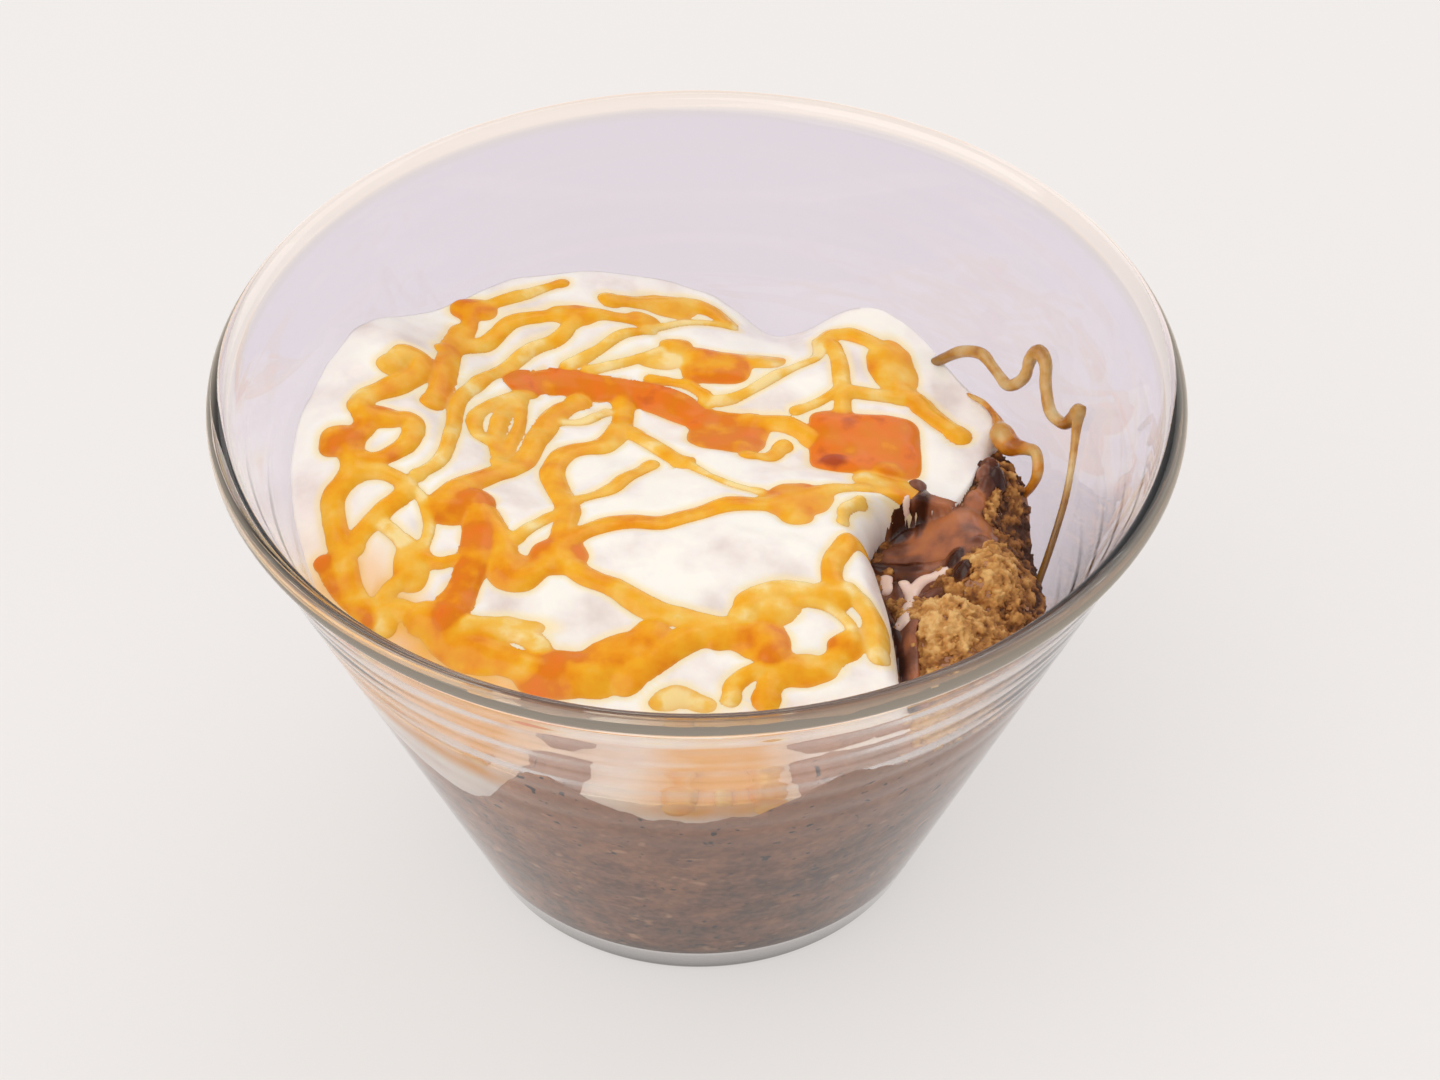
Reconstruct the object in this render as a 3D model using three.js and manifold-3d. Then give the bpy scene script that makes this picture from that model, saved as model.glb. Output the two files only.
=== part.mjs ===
// Cream fattah in its clear glass bowl, in millimetres with +Z up.
// The origin is the middle of the bowl's underside and the front looks towards -Y.
import * as THREE from 'three';
import { mergeVertices } from 'three/addons/utils/BufferGeometryUtils.js';
import Module from 'manifold-3d';

const wasm = await Module();
wasm.setup();

// Driving sizes of the glass bowl
const BOWL_HEIGHT = 83;
const RIM_RADIUS = 65;
const BASE_RADIUS = 32;
const WALL = 2.6;
const FLOOR = 4.5;
const HEEL_RADIUS = 3;
const INNER_CORNER = 7;
const RIM_BEAD_RADIUS = 1.5;
const RIM_STEPS = 6;
const CORNER_STEPS = 3;
const BOWL_SIDES = 48;

// Low pressed rings round the outside of the wall
const FIRST_RING_HEIGHT = 9;
const RING_COUNT = 11;
const RING_PITCH = 6.4;
const RING_RELIEF = 0.35;

// Clear space between neighbours
const GAP = 0.35;

// The mash of soaked bread fills the bowl to this height, with swells, dips and crags
const MASH_LEVEL = 49.5;
const MASH_SIDES = 48;
const MASH_RINGS = 9;
// Each swell: height, middle x and y, spread along x and y
const MASH_SWELLS = [
  [6.5, 41, -7, 4.5, 6],
  [6.5, 33.5, -18.5, 5, 5.5],
  [3.5, 32, -34, 8, 7],
  [2.5, 36, 6, 5, 4],
  [4.5, 42, 14, 3.5, 3.5],
  [-6.5, 50, 2, 5, 13],
];
// Where mash or cream stands higher against the glass: direction in degrees, rise, width in degrees
const WALL_TIDES = [
  [-165, 3, 9],
  [-131, -7, 10],
  [-112, 11, 6],
  [-94, 3, 9],
  [-79, 2, 4],
  [-71, 6, 5],
  [-58, 8, 10],
  [62, -3, 10],
  [95, 3.5, 9],
  [128, -4, 12],
  [160, 2.5, 8],
];
const TIDE_REACH = 13;
// Rounds of closing in on the place where a surface meets the glass
const WALL_ROUNDS = 6;

// Crags of broken bread on the open mash
const CRAG_SEED = 41;
const CRAG_COUNT = 46;
const CRAG_ATTEMPTS = 900;
const CRAG_SMALL = 1.3;
const CRAG_LARGE = 3.1;
const CRAG_FIELD = { x: 37, y: -11, halfWidth: 15, halfDepth: 29 };
const CRAG_CLEAR_OF_WALL = 1.2;
const CRAG_CLEAR_OF_CREAM = 1.5;

// The cream lies over the mash
const CREAM_LEVEL = 58;
const CREAM_MIDDLE = new THREE.Vector2(-6, 4);
const CREAM_SIDES = 60;
const CREAM_RINGS = [0.2, 0.4, 0.58, 0.73, 0.84, 0.91, 0.965, 1];
const CREAM_CUT_DEPTH = 38;
const CUTTER_OVERHANG = 4;
const EDGE_ROUND = 5;
const EDGE_FOOT = 1.2;
// Each swell: height, middle x and y, spread along and across, turn in degrees
const CREAM_SWELLS = [
  [9, -48, 9, 12, 16, 0],
  [5, -46, 29, 10, 8, 0],
  [3.6, -24, 45, 15, 9, 0],
  [-3, 4, 47, 12, 9, 0],
  [-7, 12.5, 52, 5.5, 7, 0],
  [1.2, 27, 42, 6, 8, 0],
  [5, -2, -14, 24, 15, 0],
  [2.5, -30, -10, 12, 14, 0],
  [-2.5, 3, 20, 24, 5, -18],
  [-4, 44, 14, 12, 14, 0],
  [-3.5, 40, 34, 13, 10, 0],
];
// The free edge of the cream over the open mash, from the front wall to the wall on the right
const CREAM_FREE_EDGE = [
  [27.5, -46],
  [27, -32],
  [26.6, -24],
  [25.8, -17],
  [24.6, -9],
  [23.6, -5.5],
  [23.8, -1],
  [25.5, 2.5],
  [29, 4.2],
  [34.8, 5.6],
  [36.5, 8],
  [38.4, 12.3],
  [40.5, 17.5],
  [42.6, 24],
  [43, 29],
];

// Honey drizzled over the cream: width of the line, and the points that it passes in plan
const HONEY_SIDES = 5;
const HONEY_STEP = 4.6;
const HONEY_SINK = 0.15;
const HONEY_LINES = [
  [3.2, [[-44, 27], [-42, 31], [-39, 31], [-39, 26], [-42, 21], [-46, 17], [-47, 12]]],
  [3.0, [[-45, 14], [-40, 12], [-39, 9], [-42, 5], [-47, 6], [-49, 9]]],
  [3.6, [[-46, 14], [-48, 9], [-48, 4], [-50, -1], [-49, -6], [-47, -13], [-45, -19], [-41, -25]]],
  [3.2, [[-34, 35], [-35, 30], [-36, 23], [-37, 17]]],
  [3.4, [[-33, 33], [-34, 37], [-33, 41], [-29, 42], [-25, 44], [-21, 46]]],
  [3.0, [[-34, 34], [-30, 34], [-27, 37], [-24, 39], [-20, 40], [-15, 39], [-9, 40]]],
  [2.4, [[-18, 37], [-23, 33], [-29, 27], [-33, 19], [-33, 10], [-35, 3], [-38, 0]]],
  [2.2, [[-9, 37], [-17, 32], [-25, 26], [-30, 17], [-31, 11], [-28, 12], [-27, 18]]],
  [3.0, [[-15, 26], [-19, 23], [-22, 17], [-24, 10], [-27, 4], [-31, -1], [-35, -5]]],
  [4.8, [[-33, -4], [-29, -7], [-29, -12], [-31, -18], [-33, -24], [-36, -27]]],
  [4.2, [[-29, -9], [-27, -14], [-24, -17], [-19, -16]]],
  [3.4, [[-11, 24], [-12, 18], [-16, 12], [-20, 9], [-19, 3], [-17, -4], [-18, -10], [-20, -15]]],
  [2.4, [[-17, 0], [-12, 3], [-8, 9], [-4, 13]]],
  [3.2, [[-21, -14], [-16, -9], [-11, -6], [-5, -5], [1, -1], [7, 2], [13, 3], [18, 5]]],
  [3.2, [[-12, 43], [-8, 44], [-3, 46], [1, 45], [4, 42]]],
  [4.0, [[-22, 28], [-16, 28], [-9, 28], [-3, 27], [2, 25]]],
  [3.6, [[-8, 26], [-2, 23], [4, 20], [10, 21], [14, 23]]],
  [3.2, [[20, 24], [21, 29], [20, 36], [22, 39], [26, 38], [29, 34]]],
  [4.4, [[28, 36], [30, 30], [33, 25], [37, 21]]],
  [2.4, [[17, 40], [16, 35], [12, 33], [6, 29]]],
  [3.4, [[-20, -16], [-15, -18], [-10, -21], [-5, -23], [1, -24], [7, -25], [12, -25]]],
  [3.4, [[7, -24], [9, -20], [13, -18], [18, -18], [20, -22]]],
  [2.6, [[11, -25], [11, -30], [15, -31], [20, -28], [20, -24]]],
  [3.8, [[8, -25], [1, -27], [-5, -31], [-11, -35]]],
  [3.6, [[-5, -26], [-10, -29], [-15, -33], [-22, -34], [-29, -31], [-35, -28], [-40, -24]]],
  [3.2, [[-40, -22], [-34, -24], [-27, -26], [-20, -28]]],
  [2.4, [[5, -34], [8, -32], [12, -33], [16, -36]]],
  [2.8, [[23, -7], [20, -9], [17, -14], [19, -19], [22, -22], [23, -27]]],
  [2.4, [[-46, 1], [-42, 0], [-40, -3], [-43, -7], [-46, -11]]],
  [3.2, [[-39, -2], [-37, -5], [-36, -9], [-38, -13], [-41, -18], [-43, -22]]],
];
// Flat pools of honey: middle x and y, half length, half width, height, turn in degrees
const HONEY_POOLS = [
  [4.5, 36, 6, 3, 1.3, 4],
  [3, 20.5, 5, 3.5, 1.3, -25],
  [25, 17.5, 6.5, 5.5, 1.3, 8],
  [-3.5, 38, 3, 2, 1.2, 0],
  [-33, -4, 4.5, 3.5, 1.3, 40],
];
const POOL_SIDES = 12;
const POOL_BANDS = 6;

// Honey strands that cling to the inside of the glass: direction in degrees and height
const STRAND_WIDTH = 2;
const STRAND_STEP = 3;
const LONG_STRAND = [
  [43, 58],
  [41, 59],
  [38, 59],
  [35, 58],
  [32, 58.6],
  [30, 61.5],
  [28, 65],
  [25, 64],
  [21, 61.5],
  [17, 62.5],
  [13, 62.5],
  [8, 57.5],
  [4, 52.5],
  [1, 48.5],
];
const SHORT_STRAND = [
  [30, 55.5],
  [26, 55],
  [22, 55.5],
  [18, 55.5],
  [15, 53],
  [15, 49],
];

const bowlGlass = new THREE.MeshStandardMaterial({ color: 0xd8d4d2, roughness: 0.06, metalness: 0 });
const breadMash = new THREE.MeshStandardMaterial({ color: 0x9a7350, roughness: 0.85, metalness: 0 });
const whippedCream = new THREE.MeshStandardMaterial({ color: 0xfff8eb, roughness: 0.45, metalness: 0 });
const clearHoney = new THREE.MeshStandardMaterial({ color: 0xd9a45a, roughness: 0.15, metalness: 0 });

const radians = THREE.MathUtils.degToRad;
const slope = (RIM_RADIUS - BASE_RADIUS) / BOWL_HEIGHT;
const lean = Math.atan(slope);

function outerRadius(z) {
  return BASE_RADIUS + slope * z;
}

function innerRadius(z) {
  return outerRadius(z) - WALL;
}

// A draw between 0 and 1 that is the same each time
function seededDraw(seed) {
  let state = seed;
  return () => {
    state = (state * 1664525 + 1013904223) % 4294967296;
    return state / 4294967296;
  };
}

// One smooth bump, 1 in its middle
function bump(x, y, middleX, middleY, alongX, alongY, turn = 0) {
  const angle = radians(turn);
  const u = (x - middleX) * Math.cos(angle) + (y - middleY) * Math.sin(angle);
  const v = (y - middleY) * Math.cos(angle) - (x - middleX) * Math.sin(angle);
  return Math.exp(-0.5 * ((u / alongX) ** 2 + (v / alongY) ** 2));
}

// The rounded corner from a flat floor to the leaning wall, as points of a turned profile
function roundedCorner(radius, floor, wallRadius) {
  const joinHeight = floor + radius * (1 - Math.sin(lean));
  const centre = wallRadius(joinHeight) - radius * Math.cos(lean);
  const points = [];
  for (let i = 0; i <= CORNER_STEPS; i += 1) {
    const angle = -Math.PI / 2 + (Math.PI / 2 - lean) * (i / CORNER_STEPS);
    points.push(new THREE.Vector2(centre + radius * Math.cos(angle), floor + radius * (1 + Math.sin(angle))));
  }
  return points;
}

function bowlProfile() {
  const profile = [new THREE.Vector2(0, 0), ...roundedCorner(HEEL_RADIUS, 0, outerRadius)];
  for (let i = 0; i < RING_COUNT; i += 1) {
    const crest = FIRST_RING_HEIGHT + i * RING_PITCH;
    const groove = crest - RING_PITCH / 2;
    profile.push(new THREE.Vector2(outerRadius(groove) - RING_RELIEF, groove));
    profile.push(new THREE.Vector2(outerRadius(crest), crest));
  }
  const beadMiddle = new THREE.Vector2(RIM_RADIUS - RIM_BEAD_RADIUS, BOWL_HEIGHT - RIM_BEAD_RADIUS);
  for (let i = 0; i <= RIM_STEPS; i += 1) {
    const angle = Math.PI * (i / RIM_STEPS);
    const x = beadMiddle.x + RIM_BEAD_RADIUS * Math.cos(angle);
    profile.push(new THREE.Vector2(x, beadMiddle.y + RIM_BEAD_RADIUS * Math.sin(angle)));
  }
  profile.push(...roundedCorner(INNER_CORNER, FLOOR, innerRadius).reverse());
  profile.push(new THREE.Vector2(0, FLOOR));
  return profile;
}

function glassBowl() {
  const geometry = new THREE.LatheGeometry(bowlProfile(), BOWL_SIDES);
  geometry.rotateX(Math.PI / 2);
  return geometry;
}

// A closed body from rings of points that run out over the top, down the side and back underneath
function ringedBody(rings, topPoint, bottomPoint) {
  const sides = rings[0].length;
  const points = [topPoint, ...rings.flat(), bottomPoint];
  const last = points.length - 1;
  const faces = [];
  const at = (ring, side) => 1 + ring * sides + (side % sides);
  for (let side = 0; side < sides; side += 1) {
    faces.push(0, at(0, side), at(0, side + 1));
    for (let ring = 0; ring < rings.length - 1; ring += 1) {
      faces.push(at(ring, side), at(ring + 1, side), at(ring + 1, side + 1));
      faces.push(at(ring, side), at(ring + 1, side + 1), at(ring, side + 1));
    }
    faces.push(last, at(rings.length - 1, side + 1), at(rings.length - 1, side));
  }
  const geometry = new THREE.BufferGeometry().setFromPoints(points);
  geometry.setIndex(faces);
  return geometry;
}

function solidOf(geometry) {
  geometry.deleteAttribute('normal');
  geometry.deleteAttribute('uv');
  const merged = mergeVertices(geometry);
  return new wasm.Manifold(new wasm.Mesh({
    numProp: 3,
    vertProperties: new Float32Array(merged.attributes.position.array),
    triVerts: new Uint32Array(merged.index.array),
  }));
}

function geometryOf(solid) {
  const mesh = solid.getMesh();
  const geometry = new THREE.BufferGeometry();
  geometry.setAttribute('position', new THREE.BufferAttribute(new Float32Array(mesh.vertProperties), 3));
  geometry.setIndex(new THREE.BufferAttribute(new Uint32Array(mesh.triVerts), 1));
  geometry.computeVertexNormals();
  return geometry;
}

// Height of the mash at a place in plan
function mashHeight(x, y) {
  let height = MASH_LEVEL;
  for (const [rise, middleX, middleY, alongX, alongY] of MASH_SWELLS) {
    height += rise * bump(x, y, middleX, middleY, alongX, alongY);
  }
  const wall = innerRadius(MASH_LEVEL);
  const nearWall = THREE.MathUtils.smoothstep(Math.hypot(x, y), wall - TIDE_REACH, wall);
  const direction = THREE.MathUtils.radToDeg(Math.atan2(y, x));
  for (const [middle, rise, width] of WALL_TIDES) {
    height += nearWall * rise * Math.exp(-0.5 * ((direction - middle) / width) ** 2);
  }
  return height;
}

// The place where a surface meets the glass in one direction from a middle point
function onWall(middle, direction, surface, inset) {
  let height = surface(middle.x, middle.y);
  let reach = 0;
  for (let i = 0; i < WALL_ROUNDS; i += 1) {
    const wall = innerRadius(height) - inset;
    const along = middle.x * Math.cos(direction) + middle.y * Math.sin(direction);
    reach = Math.sqrt(along ** 2 + wall ** 2 - middle.lengthSq()) - along;
    height = surface(middle.x + reach * Math.cos(direction), middle.y + reach * Math.sin(direction));
  }
  return reach;
}

function levelRing(radius, height, sides) {
  const ring = [];
  for (let side = 0; side < sides; side += 1) {
    const direction = (2 * Math.PI * side) / sides;
    ring.push(new THREE.Vector3(radius * Math.cos(direction), radius * Math.sin(direction), height));
  }
  return ring;
}

// Rings over the top of the mash from its middle to the glass, lifted clear where they are to cut the cream
function mashTopRings(lift) {
  const axis = new THREE.Vector2(0, 0);
  const rings = [];
  for (let i = 1; i <= MASH_RINGS; i += 1) {
    const ring = [];
    for (let side = 0; side < MASH_SIDES; side += 1) {
      const direction = (2 * Math.PI * side) / MASH_SIDES;
      const reach = onWall(axis, direction, mashHeight, GAP) * Math.sqrt(i / MASH_RINGS);
      const x = reach * Math.cos(direction);
      const y = reach * Math.sin(direction);
      ring.push(new THREE.Vector3(x, y, mashHeight(x, y) + lift));
    }
    rings.push(ring);
  }
  return rings;
}

function mashCore() {
  const rings = mashTopRings(0);
  const corner = roundedCorner(INNER_CORNER - GAP, FLOOR + GAP, (z) => innerRadius(z) - GAP);
  for (const point of corner.reverse()) {
    rings.push(levelRing(point.x, point.y, MASH_SIDES));
  }
  const top = new THREE.Vector3(0, 0, mashHeight(0, 0));
  return solidOf(ringedBody(rings, top, new THREE.Vector3(0, 0, FLOOR + GAP)));
}

// What the mash and its clear space take out of the cream
function mashCutter() {
  const depth = CREAM_CUT_DEPTH - CUTTER_OVERHANG;
  const rings = mashTopRings(GAP);
  const carriedOut = rings[MASH_RINGS - 1].map((point) => {
    const reach = Math.hypot(point.x, point.y);
    const outer = 1 + CUTTER_OVERHANG / reach;
    return new THREE.Vector3(point.x * outer, point.y * outer, point.z);
  });
  rings.push(carriedOut, levelRing(RIM_RADIUS, depth, MASH_SIDES));
  const top = new THREE.Vector3(0, 0, mashHeight(0, 0) + GAP);
  return solidOf(ringedBody(rings, top, new THREE.Vector3(0, 0, depth)));
}

// The room inside the glass, less the clear space
function roomInGlass() {
  const rings = [BOWL_HEIGHT, CREAM_CUT_DEPTH].map((z) => levelRing(innerRadius(z) - GAP, z, BOWL_SIDES));
  const [top, bottom] = [BOWL_HEIGHT, CREAM_CUT_DEPTH].map((z) => new THREE.Vector3(0, 0, z));
  return solidOf(ringedBody(rings, top, bottom));
}

// The swollen top of the cream before its free edge is rounded
function creamLevel(x, y) {
  let height = CREAM_LEVEL;
  for (const [rise, ...place] of CREAM_SWELLS) {
    height += rise * bump(x, y, ...place);
  }
  return height;
}

// How far the free edge lies from the middle of the cream in one direction
function freeEdgeReach(direction) {
  const along = new THREE.Vector2(Math.cos(direction), Math.sin(direction));
  const edge = CREAM_FREE_EDGE.map(([x, y]) => new THREE.Vector2(x, y).sub(CREAM_MIDDLE));
  for (let i = 0; i < edge.length - 1; i += 1) {
    const run = edge[i + 1].clone().sub(edge[i]);
    const facing = along.cross(run);
    const part = -along.cross(edge[i]) / facing;
    if (facing > 0 && part >= 0 && part <= 1) {
      return edge[i].clone().addScaledVector(run, part).dot(along);
    }
  }
  return Infinity;
}

function creamReach(direction) {
  const wall = onWall(CREAM_MIDDLE, direction, creamLevel, GAP);
  const free = freeEdgeReach(direction);
  return { reach: Math.min(wall, free), open: THREE.MathUtils.smoothstep(wall - free, 0, 4) };
}

// Height of the cream at a place in plan, rounded down towards its free edge
function creamHeight(x, y) {
  const direction = Math.atan2(y - CREAM_MIDDLE.y, x - CREAM_MIDDLE.x);
  const { reach, open } = creamReach(direction);
  const distance = Math.hypot(x - CREAM_MIDDLE.x, y - CREAM_MIDDLE.y);
  const nearEdge = THREE.MathUtils.clamp(1 - (reach - distance) / EDGE_ROUND, 0, 1);
  const drop = open * (1 - Math.sqrt(1 - nearEdge ** 2));
  const level = creamLevel(x, y);
  return level - drop * Math.max(0, level - mashHeight(x, y) - EDGE_FOOT);
}

function creamCore() {
  const rings = CREAM_RINGS.map(() => []);
  const foot = [];
  for (let side = 0; side < CREAM_SIDES; side += 1) {
    const direction = (2 * Math.PI * side) / CREAM_SIDES;
    const along = new THREE.Vector2(Math.cos(direction), Math.sin(direction));
    const { reach } = creamReach(direction);
    CREAM_RINGS.forEach((part, i) => {
      const place = CREAM_MIDDLE.clone().addScaledVector(along, part * reach);
      rings[i].push(new THREE.Vector3(place.x, place.y, creamHeight(place.x, place.y)));
    });
    const deepWall = onWall(CREAM_MIDDLE, direction, () => CREAM_CUT_DEPTH, GAP);
    const below = CREAM_MIDDLE.clone().addScaledVector(along, Math.min(reach, deepWall));
    foot.push(new THREE.Vector3(below.x, below.y, CREAM_CUT_DEPTH));
  }
  const { x, y } = CREAM_MIDDLE;
  const top = new THREE.Vector3(x, y, creamHeight(x, y));
  return solidOf(ringedBody([...rings, foot], top, new THREE.Vector3(x, y, CREAM_CUT_DEPTH)));
}

// A tube of round section along a smooth curve
function tubeAlong(points, width, step) {
  const curve = new THREE.CatmullRomCurve3(points);
  const section = new THREE.Shape();
  for (let side = 0; side < HONEY_SIDES; side += 1) {
    const angle = (2 * Math.PI * side) / HONEY_SIDES;
    const x = (width / 2) * Math.cos(angle);
    const y = (width / 2) * Math.sin(angle);
    if (side === 0) {
      section.moveTo(x, y);
    } else {
      section.lineTo(x, y);
    }
  }
  const steps = Math.max(2, Math.round(curve.getLength() / step));
  return new THREE.ExtrudeGeometry(section, { steps, extrudePath: curve, bevelEnabled: false });
}

// A line of honey lies half sunk in the cream, and both its ends dive under
function honeyLine([width, path]) {
  const points = path.map(([x, y], i) => {
    const end = i === 0 || i === path.length - 1;
    const sink = end ? width / 2 : width * HONEY_SINK;
    return new THREE.Vector3(x, y, creamHeight(x, y) - sink);
  });
  return solidOf(tubeAlong(points, width, HONEY_STEP));
}

function honeyPool([x, y, halfLength, halfWidth, height, turn]) {
  const geometry = new THREE.SphereGeometry(1, POOL_SIDES, POOL_BANDS);
  geometry.rotateX(Math.PI / 2);
  geometry.scale(halfLength, halfWidth, height * 1.6);
  geometry.rotateZ(radians(turn));
  geometry.translate(x, y, creamHeight(x, y) - height * 0.6);
  return solidOf(geometry);
}

function cream() {
  let solid = creamCore();
  for (const line of HONEY_LINES) {
    solid = solid.add(honeyLine(line));
  }
  for (const pool of HONEY_POOLS) {
    solid = solid.add(honeyPool(pool));
  }
  return geometryOf(solid.subtract(mashCutter()).intersect(roomInGlass()));
}

// One broken piece of bread, an uneven low lump
function crag(draw, place, size) {
  const geometry = new THREE.IcosahedronGeometry(size, 0);
  geometry.scale(1 + 0.5 * draw(), 0.8 + 0.4 * draw(), 0.75 + 0.3 * draw());
  geometry.rotateX(draw() * Math.PI);
  geometry.rotateZ(draw() * Math.PI);
  geometry.translate(place.x, place.y, place.z);
  return solidOf(geometry);
}

function clearOfCream(x, y, distance) {
  const direction = Math.atan2(y - CREAM_MIDDLE.y, x - CREAM_MIDDLE.x);
  return Math.hypot(x - CREAM_MIDDLE.x, y - CREAM_MIDDLE.y) - creamReach(direction).reach > distance;
}

function fattahMash() {
  const draw = seededDraw(CRAG_SEED);
  let solid = mashCore();
  let placed = 0;
  for (let attempt = 0; placed < CRAG_COUNT && attempt < CRAG_ATTEMPTS; attempt += 1) {
    const x = CRAG_FIELD.x + CRAG_FIELD.halfWidth * (2 * draw() - 1);
    const y = CRAG_FIELD.y + CRAG_FIELD.halfDepth * (2 * draw() - 1);
    const size = CRAG_SMALL + (CRAG_LARGE - CRAG_SMALL) * draw() ** 2;
    const height = mashHeight(x, y) - 0.25 * size;
    const room = innerRadius(height - size) - CRAG_CLEAR_OF_WALL - 1.5 * size;
    if (Math.hypot(x, y) < room && clearOfCream(x, y, 1.5 * size + CRAG_CLEAR_OF_CREAM)) {
      solid = solid.add(crag(draw, new THREE.Vector3(x, y, height), size));
      placed += 1;
    }
  }
  return geometryOf(solid);
}

// A strand of honey held off the glass by the clear space
function wallStrand(path) {
  const points = path.map(([direction, height]) => {
    const radius = innerRadius(height) - (GAP + STRAND_WIDTH / 2) / Math.cos(lean);
    const angle = radians(direction);
    return new THREE.Vector3(radius * Math.cos(angle), radius * Math.sin(angle), height);
  });
  return tubeAlong(points, STRAND_WIDTH, STRAND_STEP);
}

const fattah = new THREE.Group();

function addPiece(name, geometry, material) {
  const mesh = new THREE.Mesh(geometry, material);
  mesh.name = name;
  fattah.add(mesh);
}

addPiece('glass_bowl', glassBowl(), bowlGlass);
addPiece('fattah_mash', fattahMash(), breadMash);
addPiece('cream', cream(), whippedCream);
addPiece('honey_strand', wallStrand(LONG_STRAND), clearHoney);
addPiece('honey_loop', wallStrand(SHORT_STRAND), clearHoney.clone());

export default fattah;
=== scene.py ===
# Cream fattah in its clear glass bowl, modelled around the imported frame.
# The front of the helping looks towards -Y. Pieces are modelled in millimetres and finished in metres.
import math
import random

import bpy
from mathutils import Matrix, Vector, kdtree, noise


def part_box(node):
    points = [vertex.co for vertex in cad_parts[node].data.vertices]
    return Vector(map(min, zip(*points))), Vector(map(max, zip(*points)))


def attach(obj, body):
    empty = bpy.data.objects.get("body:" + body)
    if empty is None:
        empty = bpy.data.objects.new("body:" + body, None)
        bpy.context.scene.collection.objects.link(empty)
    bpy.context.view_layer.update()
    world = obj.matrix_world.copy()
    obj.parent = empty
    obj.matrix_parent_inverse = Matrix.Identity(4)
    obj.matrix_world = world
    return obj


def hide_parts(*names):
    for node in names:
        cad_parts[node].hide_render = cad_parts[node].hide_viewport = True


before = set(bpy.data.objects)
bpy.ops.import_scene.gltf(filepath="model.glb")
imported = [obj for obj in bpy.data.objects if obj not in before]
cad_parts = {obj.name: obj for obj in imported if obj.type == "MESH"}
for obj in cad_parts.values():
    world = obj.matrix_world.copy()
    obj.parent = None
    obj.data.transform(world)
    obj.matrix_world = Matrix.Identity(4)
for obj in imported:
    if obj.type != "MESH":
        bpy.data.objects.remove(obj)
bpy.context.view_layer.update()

# Sizes of the bowl, in millimetres
MM = 0.001
bowl_low, bowl_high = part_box("glass_bowl")
BOWL_HEIGHT = bowl_high.z / MM
RIM_RADIUS = bowl_high.x / MM
BASE_RADIUS = 32.0
WALL = 2.6
FLOOR = 4.5
HEEL_RADIUS = 3.0
INNER_CORNER = 7.0
RIM_BEAD = 1.5
# Where the bead of the rim leaves the outside of the wall, in degrees below level, and its steps
BEAD_START = 50
BEAD_STEP = 10
BOWL_SIDES = 256
FIRST_RING = 9.0
RING_COUNT = 11
RING_PITCH = 6.4
RING_RELIEF = 0.15
# The share of their relief that the rings keep away from the front, where they are faint
SIDE_RINGS = 0.6
RING_STEPS = 8
# The share of their relief that they keep low down, and the heights where it grows to the whole
FAINT_RINGS = 0.15
RINGS_GROW = (42, 58)
# Heights of the plain corners of the wall's top, up the outside and down the inside
TOP_OUTSIDE = (77.5, 79, 79.8)
TOP_INSIDE = (80, 78.5, 76)
# Spans where the looks of the glass change, in radius, height or share of the way to the front
# The edge spans place a painted glow along the rim; the bead, heel and front spans place painted shade on
# the glass
EDGE_OUTWARD = (RIM_RADIUS - 1.6, RIM_RADIUS - 0.3)
EDGE_RISE = (78, 80.5)
BEAD_RISE = (80.5, 81.5)
HEEL_FADE = (4.5, 7.5)
FRONT_TURN = (0, 0.6)
WORN_TURN = (0.55, 0.85)
RINGED_HEIGHTS = (4, 77)

# How far what fills the bowl reaches into its wall, so that no air shows behind the glass
MASH_REACH = 0.16
HONEY_REACH = 0.14
CREAM_REACH = 0.12

# The mash: its height, the share of the bowl's height from which its first width is taken, and its
# swells as (rise, x, y, spread along, spread across, turn in degrees where it is turned)
MASH_LEVEL = 49.5
MASH_WIDEST = 0.8
MASH_SWELLS = [
    (6.5, 41, -7, 4.5, 6), (6.5, 33.5, -18.5, 5, 5.5),
    (-3.2, 37.3, -12.6, 5, 1.5, -33), (3.5, 32, -34, 8, 7), (2.5, 36, 6, 5, 4),
    (4.5, 42, 14, 3.5, 3.5), (-6.5, 50, 2, 5, 13),
]
# Rise of the mash against the glass, as (direction in degrees, rise, width in degrees)
WALL_TIDES = [
    (-165, 3, 9), (-131, -7, 10), (-112, 12, 6.5), (-94, 3, 9), (-85.5, 1.8, 1.7),
    (-79, 1.5, 3), (-71, 8.5, 5.5), (-58, 8, 10), (62, -3, 10), (95, 3.5, 9),
    (128, -4, 12), (160, 2.5, 8),
]
TIDE_REACH = 13.0
# Grain of the mash's surface, as (height, length)
MASH_BROAD = (0.8, 2.6)
MASH_FINE = (0.5, 1)
# Heights between which the mash behind the glass turns paler, and by how much
PALER_RISE = (30, 58)
PALER_SHARE = 0.6

# The cream: its height, middle and lower side; its swells are given as those of the mash
CREAM_LEVEL = 58.0
CREAM_MIDDLE = Vector((-6.0, 4.0))
CREAM_BOTTOM = 38.0
# How far the cream runs into the glass before it is cut to fit
CREAM_PAST_GLASS = 3
# Width of the rounding at the free edge, and the height of its foot over the mash
EDGE_ROUND = 5.0
EDGE_FOOT = 1.2
# How far from the glass the edge of the cream counts as free
FREE_FROM_GLASS = 4
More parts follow.
